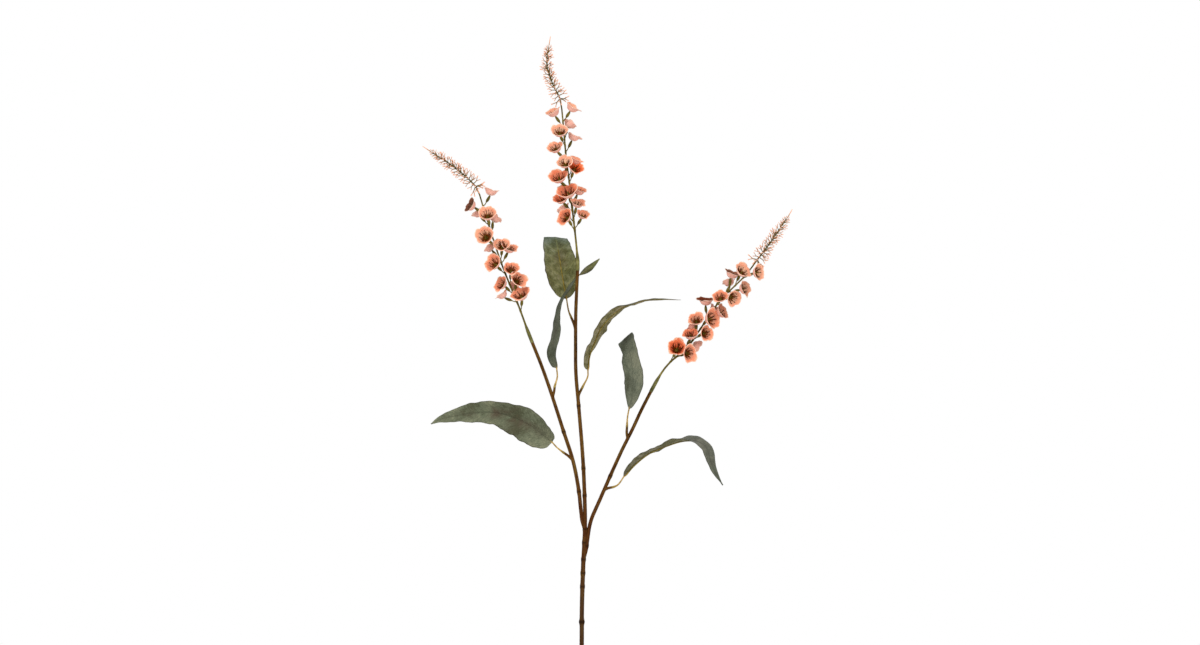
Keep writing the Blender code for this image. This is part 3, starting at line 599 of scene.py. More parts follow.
# %% [markdown]
# ## The green stalks
# Where the brown branch ends, a thicker green sleeve goes over the wire for 20 mm and then narrows to the
# stalk proper. The same tree skins it, and where a bell's footstalk leaves it there is a slight swelling.

# %% Skin the green stalks
SLEEVE_RADIUS = 2.35 * MM
SLEEVE_LENGTH = 20 * MM
SLEEVE_FADE = 2.2 * MM
SLEEVE_GREY = 0.7
SLEEVE_OVERLAP = 3 * MM
STALK_RADIUS = 1.3 * MM
STALK_END_RADIUS = 0.9 * MM
STALK_STEPS = 150
ROOT_SWELL = 0.3 * MM
ROOT_LENGTH = 1.6 * MM


def branch_line(branch):
    """The whole line of a branch, and the distances along it where its stalk and its tip begin."""
    line = smooth((*branch.wood, *branch.stalk, *branch.tip), 2)
    return line, [length_of(line[:2 * points + 1])
                  for points in (len(branch.wood) - 1, len(branch.wood) + len(branch.stalk))]


stalks = {}
for branch in BRANCHES:
    line, (start, end) = branch_line(branch)
    start -= SLEEVE_OVERLAP
    length = end - start
    stalks[branch.name] = [on_line(line, start + length * k / STALK_STEPS)[0] for k in range(STALK_STEPS + 1)]
    roots = [length - Bell(*bell).down * MM for bell in branch.bells]
    run = []
    for k, spot in enumerate(stalks[branch.name]):
        gone = length * k / STALK_STEPS
        sleeve = 1 / (1 + math.exp((gone - SLEEVE_LENGTH) / SLEEVE_FADE))
        radius = STALK_RADIUS + (STALK_END_RADIUS - STALK_RADIUS) * k / STALK_STEPS
        radius += (SLEEVE_RADIUS - STALK_RADIUS) * sleeve
        radius += sum(ROOT_SWELL * math.exp(-((gone - root) / ROOT_LENGTH) ** 2) for root in roots)
        run.append((spot, {"radius": radius, "sleeve": SLEEVE_GREY * sleeve}))
    stalk = run_tree(branch.name + "_stalk", [run], stem_tree, Sides=12, Grain_height=0.16 * MM,
                     Grain_length=3 * MM, Seed=8.0, Material=olive)
    hand_over(stalk, branch.name + "_spike")

# %% [markdown]
# ## The footstalk and spindle under a bell
# Each bell hangs on a thin footstalk that bends up into an olive spindle, thickest a little below its
# middle, with five faint ribs. It is the same moulding everywhere, so we loft it once, ring by ring, and
# the whorl tree repeats it.

# %% Loft the spindle
PEDICEL_OUT = 3.4 * MM
PEDICEL_UP = 6.3 * MM
PEDICEL_RADIUS = 0.62 * MM
CALYX_START = 0.42
CALYX_LENGTH = 9 * MM
CALYX_TILT = math.radians(23)
CALYX_RADIUS = 1.85 * MM
CALYX_RIB = 0.07
NECK_RADIUS = 0.75 * MM
SPINDLE_SIDES = 10
SPINDLE_RINGS = 16
BACKWARDS = Vector((0, 1, 0))


def ring_round(bm, spot, across, aside, radii):
    """A ring of vertices round a spot, one for each radius, in the plane of two directions."""
    turns = [math.tau * j / len(radii) for j in range(len(radii))]
    return [bm.verts.new(spot + (across * math.cos(turn) + aside * math.sin(turn)) * radius)
            for turn, radius in zip(turns, radii)]


def loft_rings(bm, rings):
    """Joins rings of vertices one after the other and closes both ends."""
    for low, high in zip(rings, rings[1:]):
        for k in range(len(low)):
            bm.faces.new((low[k], low[k - 1], high[k - 1], high[k]))
    bm.faces.new(rings[0])
    bm.faces.new(rings[-1][::-1])
    bmesh.ops.recalc_face_normals(bm, faces=bm.faces)


def shape_object(name, bm, shapes):
    """A small shape in a collection of its own, for the whorl tree to pick from."""
    mesh = bpy.data.meshes.new(name)
    bm.to_mesh(mesh)
    bm.free()
    mesh.shade_smooth()
    shapes.objects.link(bpy.data.objects.new(name, mesh))


foot = Vector((PEDICEL_OUT, 0, PEDICEL_UP))
calyx = Vector((math.sin(CALYX_TILT), 0, math.cos(CALYX_TILT))) * CALYX_LENGTH
neck_offset = foot + calyx
bend = foot * 0.55 + Vector((0.3 * MM, 0, -0.3 * MM))
spine = smooth([v / MM for v in (Vector((0, 0, 0)), bend, foot, foot + calyx / 2, neck_offset)], 12)
bm = bmesh.new()
rings = []
for k in range(SPINDLE_RINGS + 1):
    share = k / SPINDLE_RINGS
    spot, way = on_line(spine, length_of(spine) * share)
    into = max(0, (share - CALYX_START) / (1 - CALYX_START))
    belly = math.sin(math.pi * min(1, into) ** 0.8) ** 0.7 if into > 0 else 0
    base = PEDICEL_RADIUS + (NECK_RADIUS - PEDICEL_RADIUS) * into
    radius = base + (CALYX_RADIUS - base) * belly
    radii = [radius * (1 + CALYX_RIB * (-1) ** j * belly) for j in range(SPINDLE_SIDES)]
    rings.append(ring_round(bm, spot, Vector((way.z, 0, -way.x)), BACKWARDS, radii))
loft_rings(bm, rings)
spindles = bpy.data.collections.new("spindle_shapes")
shape_object("spindle", bm, spindles)
print("the neck stands", round(neck_offset.x / MM, 1), "mm out and", round(neck_offset.z / MM, 1), "mm up")

# %% [markdown]
# ## One cloth bell
# A bell is five petals stamped from one piece of cloth and drawn into a cup. From its neck it swells into a
# round belly and flares at the rim, which rises at each petal, dips between them and ruffles. On most bells
# one petal is drawn out into a curled point.

# %% Write down the rule of a cup
CUP_OUTLINE = ((0.9, 0), (3.2, 0.5), (5.6, 1.9), (7.0, 3.9), (7.7, 5.6), (8.8, 7.2), (10.6, 8.4))
CUP_AROUND = 70
CUP_RINGS = 16
CUP_POINTS = (1.0, 0.35, 0.8, 0.0)
CLOTH = 0.32 * MM
PETALS = 5
PETAL_RISE = 0.9
PETAL_DIP = 0.5
POINT_WIDTH = 0.33
POINT_REACH = 2.4 * MM
POINT_DROP = 1.0 * MM
PLEATS = 22
PLEAT_DEPTH = 0.16
RUFFLES = ((2, 0.55), (3, 0.5), (8, 0.26), (14, 0.14))
RUFFLE_STRAY = (0.7, 1.3)
NEAR_UP = 0.02
NEAR_ROUND = 0.03
NECK_DROP = 0.2 * MM


def cup_point(outline, share, angle, ruffles, point):
    """A point of the cup's outside: its outline, the petals' rise, the ruffles and the drawn-out petal."""
    spot, _ = on_line(outline, length_of(outline) * share)
    off = (angle + math.pi) % math.tau - math.pi
    petal = abs(math.cos(PETALS * angle / 2))
    drawn = point * math.exp(-((off / POINT_WIDTH) ** 2))
    ruffle = sum(size * math.sin(count * angle + phase) for count, size, phase in ruffles)
    edge = (PETAL_RISE * petal - PETAL_DIP + ruffle) * MM
    pleat = PLEAT_DEPTH * math.sin(PLEATS * angle + 2 * math.sin(3 * angle)) * math.sin(math.pi * share**0.8)
    radius = spot.x + edge * share**4 + POINT_REACH * drawn * share**5 + pleat * MM
    rise = edge * share**3 - POINT_DROP * drawn * share**6
    return Vector((math.cos(angle) * radius, math.sin(angle) * radius, spot.z + rise))


print("a cup is", 2 * CUP_OUTLINE[-1][0], "mm wide and", CUP_OUTLINE[-1][1], "mm deep")

# %% [markdown]
# We make a grid of points by that rule, once for the outside and once further in by the cloth's thickness,
# square to the cloth, whose slope we take from points a little further up and round. We store on each point
# where it is round the cup, how far it is up the petal, and whether it is inside. The paint reads those.
# Four cups with different ruffles are enough, because each also gets its own turn, size and ripeness.

# %% Draw four cloth cups
def draw_cup(name, rng, point, shapes):
    """A cup of two walls, closed at the neck and joined at the rim. One petal is drawn out by point."""
    outline = smooth([(r, 0, z) for r, z in CUP_OUTLINE], 6)
    ruffles = [(count, height * rng.uniform(*RUFFLE_STRAY), rng.uniform(0, math.tau))
               for count, height in RUFFLES]
    bm = bmesh.new()
    where = bm.verts.layers.float_vector.new("petal")
    inner = bm.verts.layers.float.new("inner")
    walls = []
    for inside in (0, 1):
        wall = []
        for k in range(1, CUP_RINGS + 1):
            share = k / CUP_RINGS
            ring = []
            for j in range(CUP_AROUND):
                angle = math.tau * j / CUP_AROUND
                spot = cup_point(outline, share, angle, ruffles, point)
                if inside:
                    ahead = cup_point(outline, min(1, share + NEAR_UP), angle, ruffles, point)
                    behind = cup_point(outline, share - NEAR_UP, angle, ruffles, point)
                    beside = cup_point(outline, share, angle + NEAR_ROUND, ruffles, point)
                    spot = spot + (ahead - behind).cross(beside - spot).normalized() * CLOTH
                vert = bm.verts.new(spot)
                vert[where] = (math.cos(angle), math.sin(angle), share)
                vert[inner] = inside
                ring.append(vert)
            wall.append(ring)
        walls.append(wall)
    outside, lining = walls
    for wall, step in ((outside, 1), (lining, -1)):
        for low, high in zip(wall, wall[1:]):
            for j in range(CUP_AROUND):
                bm.faces.new((low[j - 1], low[j], high[j], high[j - 1])[::step])
        pole = bm.verts.new((0, 0, wall[0][0].co.z - (NECK_DROP if step == 1 else 0)))
        pole[where] = (0, 0, 0)
        pole[inner] = 0 if step == 1 else 1
        for j in range(CUP_AROUND):
            bm.faces.new((pole, wall[0][j], wall[0][j - 1])[::step])
    for j in range(CUP_AROUND):
        bm.faces.new((outside[-1][j - 1], outside[-1][j], lining[-1][j], lining[-1][j - 1]))
    bmesh.ops.recalc_face_normals(bm, faces=bm.faces)
    shape_object(name, bm, shapes)


rng = random.Random(11)
cups = bpy.data.collections.new("cup_shapes")
for k, point in enumerate(CUP_POINTS):
    draw_cup(f"cup_{k}", rng, point, cups)

# %% [markdown]
# ## Printed petal cloth
# The cloth is polyester, matt with a slight bloom, printed on its inner side. From the throat outwards the
# print goes from olive through a dark ring to peach and coral, mottled every 2 or 3 mm, with a thin pale
# rim, and dark strokes run out over it. The throat's olive and the peach half way up are painted lighter
# than the print, as painted light against the shade deep in the cup. Ripe bells are redder, and in a few
# the whole inside is darkened by painted shade. The outside is a dusty pink with faint veins, paler at the
# neck and at the rim. The strokes are noise that is fine round the cup, about 1.5 mm, and long up the
# petal, and subtracting the height from it tapers them to points. The same noise as a shallow bump gives
# the pressed veins. The cloth's own threads are too fine to show at this size.

# %% Material: printed polyester petals
petal_cloth, tree = start_material("printed_polyester_petals", Roughness=0.85, IOR=1.45,
                                   Specular_IOR_Level=0.04)
place = add(tree, "Attribute", attribute_name="petal").outputs["Vector"]
inner = add(tree, "Attribute", attribute_name="inner").outputs["Fac"]
ripe = add(tree, "Attribute", attribute_name="ripe").outputs["Fac"]
world = add(tree, "TexCoord").outputs["Object"]
drift = add(tree, "TexNoise", world, {"Scale": per_metre(7.692), "Detail": 2.0})
stroke_at = add(tree, "VectorMath", place, (5.0, 5.0, 0.7), operation="MULTIPLY")
stroke_at = add(tree, "VectorMath", stroke_at,
                add(tree, "VectorMath", world, [per_metre(25)] * 3, operation="MULTIPLY"), operation="ADD")
strokes = add(tree, "TexNoise", stroke_at, {"Scale": 1.0, "Detail": 2.0, "Roughness": 0.6})
rise = add(tree, "SeparateXYZ", place).outputs["Z"]
patchy = add(tree, "Math", strokes, 0.5, operation="SUBTRACT")
patchy = add(tree, "Math", patchy, -0.35, rise, operation="MULTIPLY_ADD")
mottle = add(tree, "TexNoise", world, {"Scale": per_metre(2.381), "Detail": 3.0, "Roughness": 0.7})
mottle = add(tree, "Math", mottle, 0.5, operation="SUBTRACT")
patchy = add(tree, "Math", mottle, 0.7, patchy, operation="MULTIPLY_ADD")
tapered = add(tree, "Math", rise, -0.5, strokes, operation="MULTIPLY_ADD")
drawn = add(tree, "MapRange", tapered, {"From Min": 0.27, "From Max": 0.3, "To Max": 0.9})
# Painted light: both ramps make the throat's olive lighter than the print, and the pale one is lightest half
# way up, against the shade deep in the cup.
pale = add(tree, "ValToRGB", patchy, stops=[(0.0, "#a08e14"), (0.16, "#866c0c"), (0.22, "#964e12"),
                                            (0.3, "#ecac78"), (0.5, "#f9ceac"), (0.84, "#ec9f7e"),
                                            (1.0, "#f2bc9e")])
rich = add(tree, "ValToRGB", patchy, stops=[(0.0, "#968210"), (0.13, "#705608"), (0.19, "#7e2202"),
                                            (0.26, "#c63c10"), (0.5, "#e56a3c"), (0.84, "#e26a3e"),
                                            (1.0, "#f0ac86")])
# Painted shade: the dark attribute darkens the whole inside of the cups listed in the table of shaded mouths.
dark = add(tree, "Attribute", attribute_name="dark").outputs["Fac"]
rim = add(tree, "MapRange", rise, {"From Min": 0.95, "From Max": 0.985, "To Max": 0.7})
inside = add(tree, "Mix", {"Factor": ripe, "A": pale, "B": rich}, data_type="RGBA")
# Printed strokes, then the painted shade of a shaded mouth, then the pale printed rim.
for cover, coat in ((drawn, "#561a00"), (dark, "#4a1c08"), (rim, "#fde6d2")):
    inside = add(tree, "Mix", {"Factor": cover, "A": inside, "B": linear(coat)}, data_type="RGBA")
outer = add(tree, "ValToRGB", rise,
            stops=[(0.05, "#f6e6d6"), (0.22, "#ebbfae"), (0.7, "#e7ae9c"), (1.0, "#f7d2bc")])
veined = add(tree, "Mix", {"Factor": strokes, "A": linear("#d89482"), "B": outer}, data_type="RGBA")
veiled = add(tree, "Mix", {"Factor": drift, "A": outer, "B": veined}, data_type="RGBA")
colour = add(tree, "Mix", {"Factor": inner, "A": veiled, "B": inside}, data_type="RGBA")
bump = add(tree, "Bump", {"Strength": 0.6, "Distance": 0.35 * MM, "Height": strokes})
shade(petal_cloth, Base_Color=colour, Normal=bump)
print(petal_cloth.name, len(tree.nodes), "nodes")

# %% [markdown]
# ## Place the bells
# The bells stand at measured heights and bearings, and get redder towards the foot of each spike. Some are
# riper or paler than that rule makes them, and a few get painted shade over the whole inside of the cup, so
# two short tables give those by their number.

# %% Note the bells that differ
OWN_RIPENESS = {
    ("centre", 7): 0.0, ("centre", 8): 1.0, ("centre", 9): 0.65, ("centre", 11): 0.65, ("centre", 12): 0.8,
    ("centre", 13): 0.1, ("centre", 15): 0.35, ("centre", 16): 0.6, ("left", 9): 0.5, ("left", 12): 0.5,
    ("right", 5): 0.1, ("right", 6): 0.5, ("right", 7): 0.8, ("right", 11): 0.35, ("right", 14): 0.7,
    ("right", 17): 0.9,
}
# Painted shade: how far the whole inside of each of these cups is darkened, where its mouth lies in shadow.
SHADED_MOUTHS = {
    ("left", 1): 0.85, ("right", 2): 0.7, ("right", 3): 0.25, ("right", 4): 0.2, ("right", 7): 0.85,
    ("right", 8): 0.3,
}
print(len(OWN_RIPENESS), "bells are as ripe as the table says, and", len(SHADED_MOUTHS), "have darker mouths")

# %% [markdown]
# A point on the stalk carries each spindle, and a point at the spindle's neck carries the cup, whose mouth
# tips further out. The stamens use the cups' points too.

# %% Place the spindles and the cups
RIPE_FROM = 40
RIPE_OVER = 110
RIPEST = 0.45
RIPE_STRAY = 0.2
CUP_GROWTH = 1.05
CUP_TURN = 0.5


def sideways(way, bearing):
    """Square to a stalk: bearing 0 to the picture's right, 90 to its back, -90 to its front."""
    right = Vector((way.z, 0, -way.x)).normalized()
    back = way.cross(right)
    return right * math.cos(math.radians(bearing)) + back * math.sin(math.radians(bearing))


def plant(branch, what, points, shapes, material, **numbers):
    """Copies of shapes on a branch's points, handed over as a part of its spike."""
    piece = run_tree(f"{branch.name}_{what}", points, whorl_tree, Shapes=shapes, Material=material, **numbers)
    hand_over(piece, branch.name + "_spike")


cup_points = {}
rng = random.Random(5)
for branch in BRANCHES:
    stalk = stalks[branch.name]
    spindle_points = []
    cup_points[branch.name] = []
    for k, bell in enumerate(Bell(*numbers) for numbers in branch.bells):
        spot, way = on_line(stalk, length_of(stalk) - bell.down * MM)
        out = sideways(way, bell.side)
        lean = math.radians(bell.lean)
        neck = spot + (out * math.cos(lean) - way * math.sin(lean)) * neck_offset.x
        neck += (way * math.cos(lean) + out * math.sin(lean)) * neck_offset.z
        tilt = math.radians(bell.tilt)
        facing = sideways(way, bell.mouth)
        mouth = facing * math.sin(tilt) + way * math.cos(tilt)
        across = facing * math.cos(tilt) - way * math.sin(tilt)
        ripe = (bell.down - RIPE_FROM) / RIPE_OVER + rng.uniform(-RIPE_STRAY, RIPE_STRAY)
        ripe = RIPEST * min(1, max(0, ripe))
        spindle_points.append(
            [(spot, {"axis": way, "side": out, "lean": lean, "turn": 0.0, "size": 1.0, "variant": 0.0})])
        # Each cup keeps its ripeness and, as dark, its painted shade.
        cup_points[branch.name].append([(neck, {
            "axis": mouth, "side": across, "lean": 0.0, "turn": rng.uniform(-CUP_TURN, CUP_TURN),
            "size": CUP_GROWTH * bell.size, "ripe": OWN_RIPENESS.get((branch.name, k), ripe),
            "dark": SHADED_MOUTHS.get((branch.name, k), 0.0),
            "variant": float(rng.randrange(len(CUP_POINTS)))})])
    plant(branch, "spindles", spindle_points, spindles, olive, Copies=1, Seed=1)
    plant(branch, "cups", cup_points[branch.name], cups, petal_cloth, Copies=1, Seed=1)

# %% [markdown]
# ## Stamens and pistil
# Inside each cup stand seven thin dark stamens, bent outwards so that they lie near the petals, each with a
# small anther, round an olive pistil. They are the same soft polyethylene as the tips, dipped so that they
# go from olive at the foot to a dark red brown. A stamen has to be very plain, because there are hundreds
# of them.

# %% Material: dark stamen plastic
stamen_dark, tree = start_material("dark_moulded_stamens", Roughness=0.6, IOR=1.5, Specular_IOR_Level=0.05)
tall = add(tree, "Attribute", attribute_name="tall").outputs["Fac"]
mottle = add(tree, "TexNoise", add(tree, "TexCoord").outputs["Object"], {"Scale": per_metre(1.4286)})
tinted = add(tree, "Math", mottle, 0.25, tall, operation="MULTIPLY_ADD")
dark = add(tree, "ValToRGB", tinted,
           stops=[(0.1, "#7c6a16"), (0.4, "#5e300a"), (0.75, "#461804"), (1.0, "#341204")])
shade(stamen_dark, Base_Color=dark)
print(stamen_dark.name, len(tree.nodes), "nodes")

# %% Model and place the stamens
STAMENS = 7
STAMEN_SPOTS = ((0.9, 0.6), (3.2, 1.6), (5.4, 3.4), (6.2, 5.4), (6.3, 6.1), (6.4, 6.9))
STAMEN_RADII = (0.25, 0.25, 0.25, 0.25, 0.5, 0.15)
PISTIL_HEIGHTS = (0.3, 1.2, 2.4, 4.6, 5.6, 6.2)
PISTIL_RADII = (2.2, 2.0, 1.0, 0.45, 0.75, 0.25)


def thin_spine(name, spots, radii, sides):
    """A thin rod through spots in millimetres, in a collection. Its points keep their height as tall."""
    spots = [Vector((x, 0, z)) * MM for x, z in spots]
    bm = bmesh.new()
    tall = bm.verts.layers.float.new("tall")
    rings = []
    for k, (spot, radius) in enumerate(zip(spots, radii)):
        ahead = spots[min(k + 1, len(spots) - 1)] - spots[max(k - 1, 0)]
        across = Vector((ahead.z, 0, -ahead.x)).normalized()
        rings.append(ring_round(bm, spot, across, BACKWARDS, [radius * MM] * sides))
        for vert in rings[-1]:
            vert[tall] = k / (len(spots) - 1)
    loft_rings(bm, rings)
    shapes = bpy.data.collections.new(name + "_shapes")
    shape_object(name, bm, shapes)
    return shapes


stamens = thin_spine("stamen", STAMEN_SPOTS, STAMEN_RADII, 4)
for branch in BRANCHES:
    plant(branch, "stamens", cup_points[branch.name], stamens, stamen_dark, Copies=STAMENS, Turn_stray=0.22,
          Lean_stray=0.1, Size_stray=0.08, Seed=4)

# %% [markdown]
# The pistils have only one shape in their collection, so their points carry variant 0.

# %% Place the pistils
pistils = thin_spine("pistil", [(0, height) for height in PISTIL_HEIGHTS], PISTIL_RADII, 8)
for branch in BRANCHES:
    middles = [[(spot, {**values, "variant": 0.0})] for ((spot, values),) in cup_points[branch.name]]
    plant(branch, "pistils", middles, pistils, olive, Copies=1, Seed=2)

# %% [markdown]
# ## The bristle tips
# Above the bells the spike ends in unopened buds: whorls of soft forked bristles round a thin axis,
# drooping in the lowest whorl and rising further up, then a bare point. It is soft polyethylene, dipped so
# that it goes from olive at the axis to peach at the ends, in mottles some 4 or 5 mm long. The axis comes
# from the stem tree, and one forked bristle in three versions, repeated by the whorl tree, makes the rest.

# %% Material: soft peach and olive plastic
tip_plastic, tree = start_material("soft_moulded_tips", Roughness=0.6, IOR=1.5, Specular_IOR_Level=0.05)
tall = add(tree, "Attribute", attribute_name="tall").outputs["Fac"]
mottle = add(tree, "TexNoise", add(tree, "TexCoord").outputs["Object"], {"Scale": per_metre(4.5455)})
tinted = add(tree, "Math", mottle, 0.5, operation="SUBTRACT")
tinted = add(tree, "Math", tinted, 0.5, tall, operation="MULTIPLY_ADD")
peach = add(tree, "ValToRGB", tinted, stops=[(0.1, "#5a5028"), (0.38, "#7a693e"), (0.55, "#cf966c"),
                                             (0.75, "#f4b08c"), (1.0, "#ffd2ba")])
shade(tip_plastic, Base_Color=peach)
print(tip_plastic.name, len(tree.nodes), "nodes")

# %% Model a forked bristle
WHORLS = 17
BRISTLES = 4
BRISTLE_LENGTH = 9.8 * MM
BARE_POINT = 17.5 * MM
FIRST_WHORL = 0.8 * MM
WHORL_LEANS = [math.radians(angle) for angle in (112, 84, 76, 68, 58, 54, 52, 52, 52, 50, 48, 46)]
WHORL_SIZES = (1.3, 1.12, 1.12, 1.1, 1.08, 1.05, 1.0, 0.98, 0.95, 0.9, 0.82, 0.72)
WHORL_TURN = 0.5
WHORL_SIDE = -45
TIP_STEPS = 60
TIP_RADIUS = 1.0
TIP_TAPER = 0.5
FORK_SHARE = 0.45
BELOW_RADII = (0.65, 0.58)
END_RADII = (0.48, 0.44, 0.78, 0.3)
END_SHARES = (0, 0.72, 0.88, 1)
END_LENGTHS = (0.45, 0.6)
END_LEANS = (0.35, 0.65)
END_TURN = 0.4
FORK_OVERLAP = 0.1 * MM
BRISTLE_ENDS = (3, 2, 2)


def forked_bristle(name, rng, ends, shapes):
    """A bristle that splits into short ends, each with a small bud."""
    bm = bmesh.new()
    tall = bm.verts.layers.float.new("tall")
    fork = Vector((0, 0, FORK_SHARE)) * BRISTLE_LENGTH
    parts = [([Vector((0, 0, 0)), fork], BELOW_RADII, (0.0, 0.5))]
    for k in range(ends):
        turn = math.tau * k / ends + rng.uniform(-END_TURN, END_TURN)
        lean = rng.uniform(*END_LEANS)
        way = Vector((math.sin(lean) * math.cos(turn), math.sin(lean) * math.sin(turn), math.cos(lean)))
        reach = BRISTLE_LENGTH * rng.uniform(*END_LENGTHS)
        start = fork - Vector((0, 0, FORK_OVERLAP))
        parts.append(([start + way * reach * share for share in END_SHARES], END_RADII, (0.45, 1.0)))
    for spots, radii, (low, high) in parts:
        across = (spots[-1] - spots[0]).orthogonal().normalized()
        aside = across.cross(spots[-1] - spots[0]).normalized()
        rings = [ring_round(bm, spot, across, aside, [radius * MM] * 4) for spot, radius in zip(spots, radii)]
        for k, ring in enumerate(rings):
            for vert in ring:
                vert[tall] = low + (high - low) * k / (len(spots) - 1)
        loft_rings(bm, rings)
    shape_object(name, bm, shapes)


print("a bristle forks", round(FORK_SHARE * BRISTLE_LENGTH / MM, 1), "mm up")

# %% [markdown]
# Three bristles are enough, one with three ends and two with two. Towards the point of the tip the whorls
# lean out less and get smaller, and each is turned against the one below it.

# %% Place the bristles
rng = random.Random(21)
bristles = bpy.data.collections.new("bristle_shapes")
for k, ends in enumerate(BRISTLE_ENDS):
    forked_bristle(f"bristle_{k}", rng, ends, bristles)
for branch in BRANCHES:
    line, (_, start) = branch_line(branch)
    whole = length_of(line)
    spots = [on_line(line, start + (whole - start) * k / TIP_STEPS)[0] for k in range(TIP_STEPS + 1)]
    run = [(spot, {"radius": (TIP_RADIUS - TIP_TAPER * k / TIP_STEPS) * MM,
                   "tall": 0.05 + 0.9 * (k / TIP_STEPS) ** 6}) for k, spot in enumerate(spots)]
    axis = run_tree(branch.name + "_tip_axis", [run], stem_tree, Sides=8, Grain_height=0.1 * MM,
                    Grain_length=2 * MM, Seed=5.0, Material=tip_plastic)
    hand_over(axis, branch.name + "_tip")
    places = []
    for whorl in range(WHORLS):
        share = whorl / (WHORLS - 1)
        spot, way = on_line(spots, FIRST_WHORL + (length_of(spots) - BARE_POINT) * share)
        places.append([(spot, {"axis": way, "side": sideways(way, WHORL_SIDE),
                               "lean": between(WHORL_LEANS, share), "turn": WHORL_TURN * (-1) ** whorl,
                               "size": between(WHORL_SIZES, share),
                               "variant": float(rng.randrange(len(BRISTLE_ENDS)))})])
    piece = run_tree(branch.name + "_bristles", places, whorl_tree, Shapes=bristles, Copies=BRISTLES,
                     Turn_stray=0.35, Lean_stray=0.2, Size_stray=0.12, Seed=9, Material=tip_plastic)
    hand_over(piece, branch.name + "_tip")

# %% [markdown]
# ## Printed leaf cloth
# The leaves are stiffened polyester, printed grey green above and browner below, with pressed veins. The
# print has three layers. Clouds, 33 mm long above and 10 mm under, carry feathered strokes about 1.8 mm
# wide that run the way of the side veins. Side veins leave the midrib every 8 mm and run forward, and a
# fine net of cells about 2 mm wide lies between them. Rusty marks gather along the midrib. All but the
# clouds and the rust come from the leaf's own measure, which each point keeps: its distance along and
# across in millimetres. The edge is cut and turns dark. The two sides share one recipe with different
# colours, so a loop makes both materials. The weave is too fine to show, so a coarser bump, 0.4 mm across,
# stands for it.

# %% Material: printed polyester leaves
LEAF_LOOKS = {
    "printed_leaf_upper": ("#474a34", "#60664e", "#7d7f61", "#3c3e2e", "#35331f", 0.62, 33.33),
    "printed_leaf_under": ("#454625", "#646641", "#878460", "#858142", "#3a321c", 0.7, 10),
}
VEIN_SPACING = 8.0
VEIN_SLANT = 0.95
VEIN_WANDER = 5.0
NET_CELL = 2.0
WEAVE_CELL = 0.4

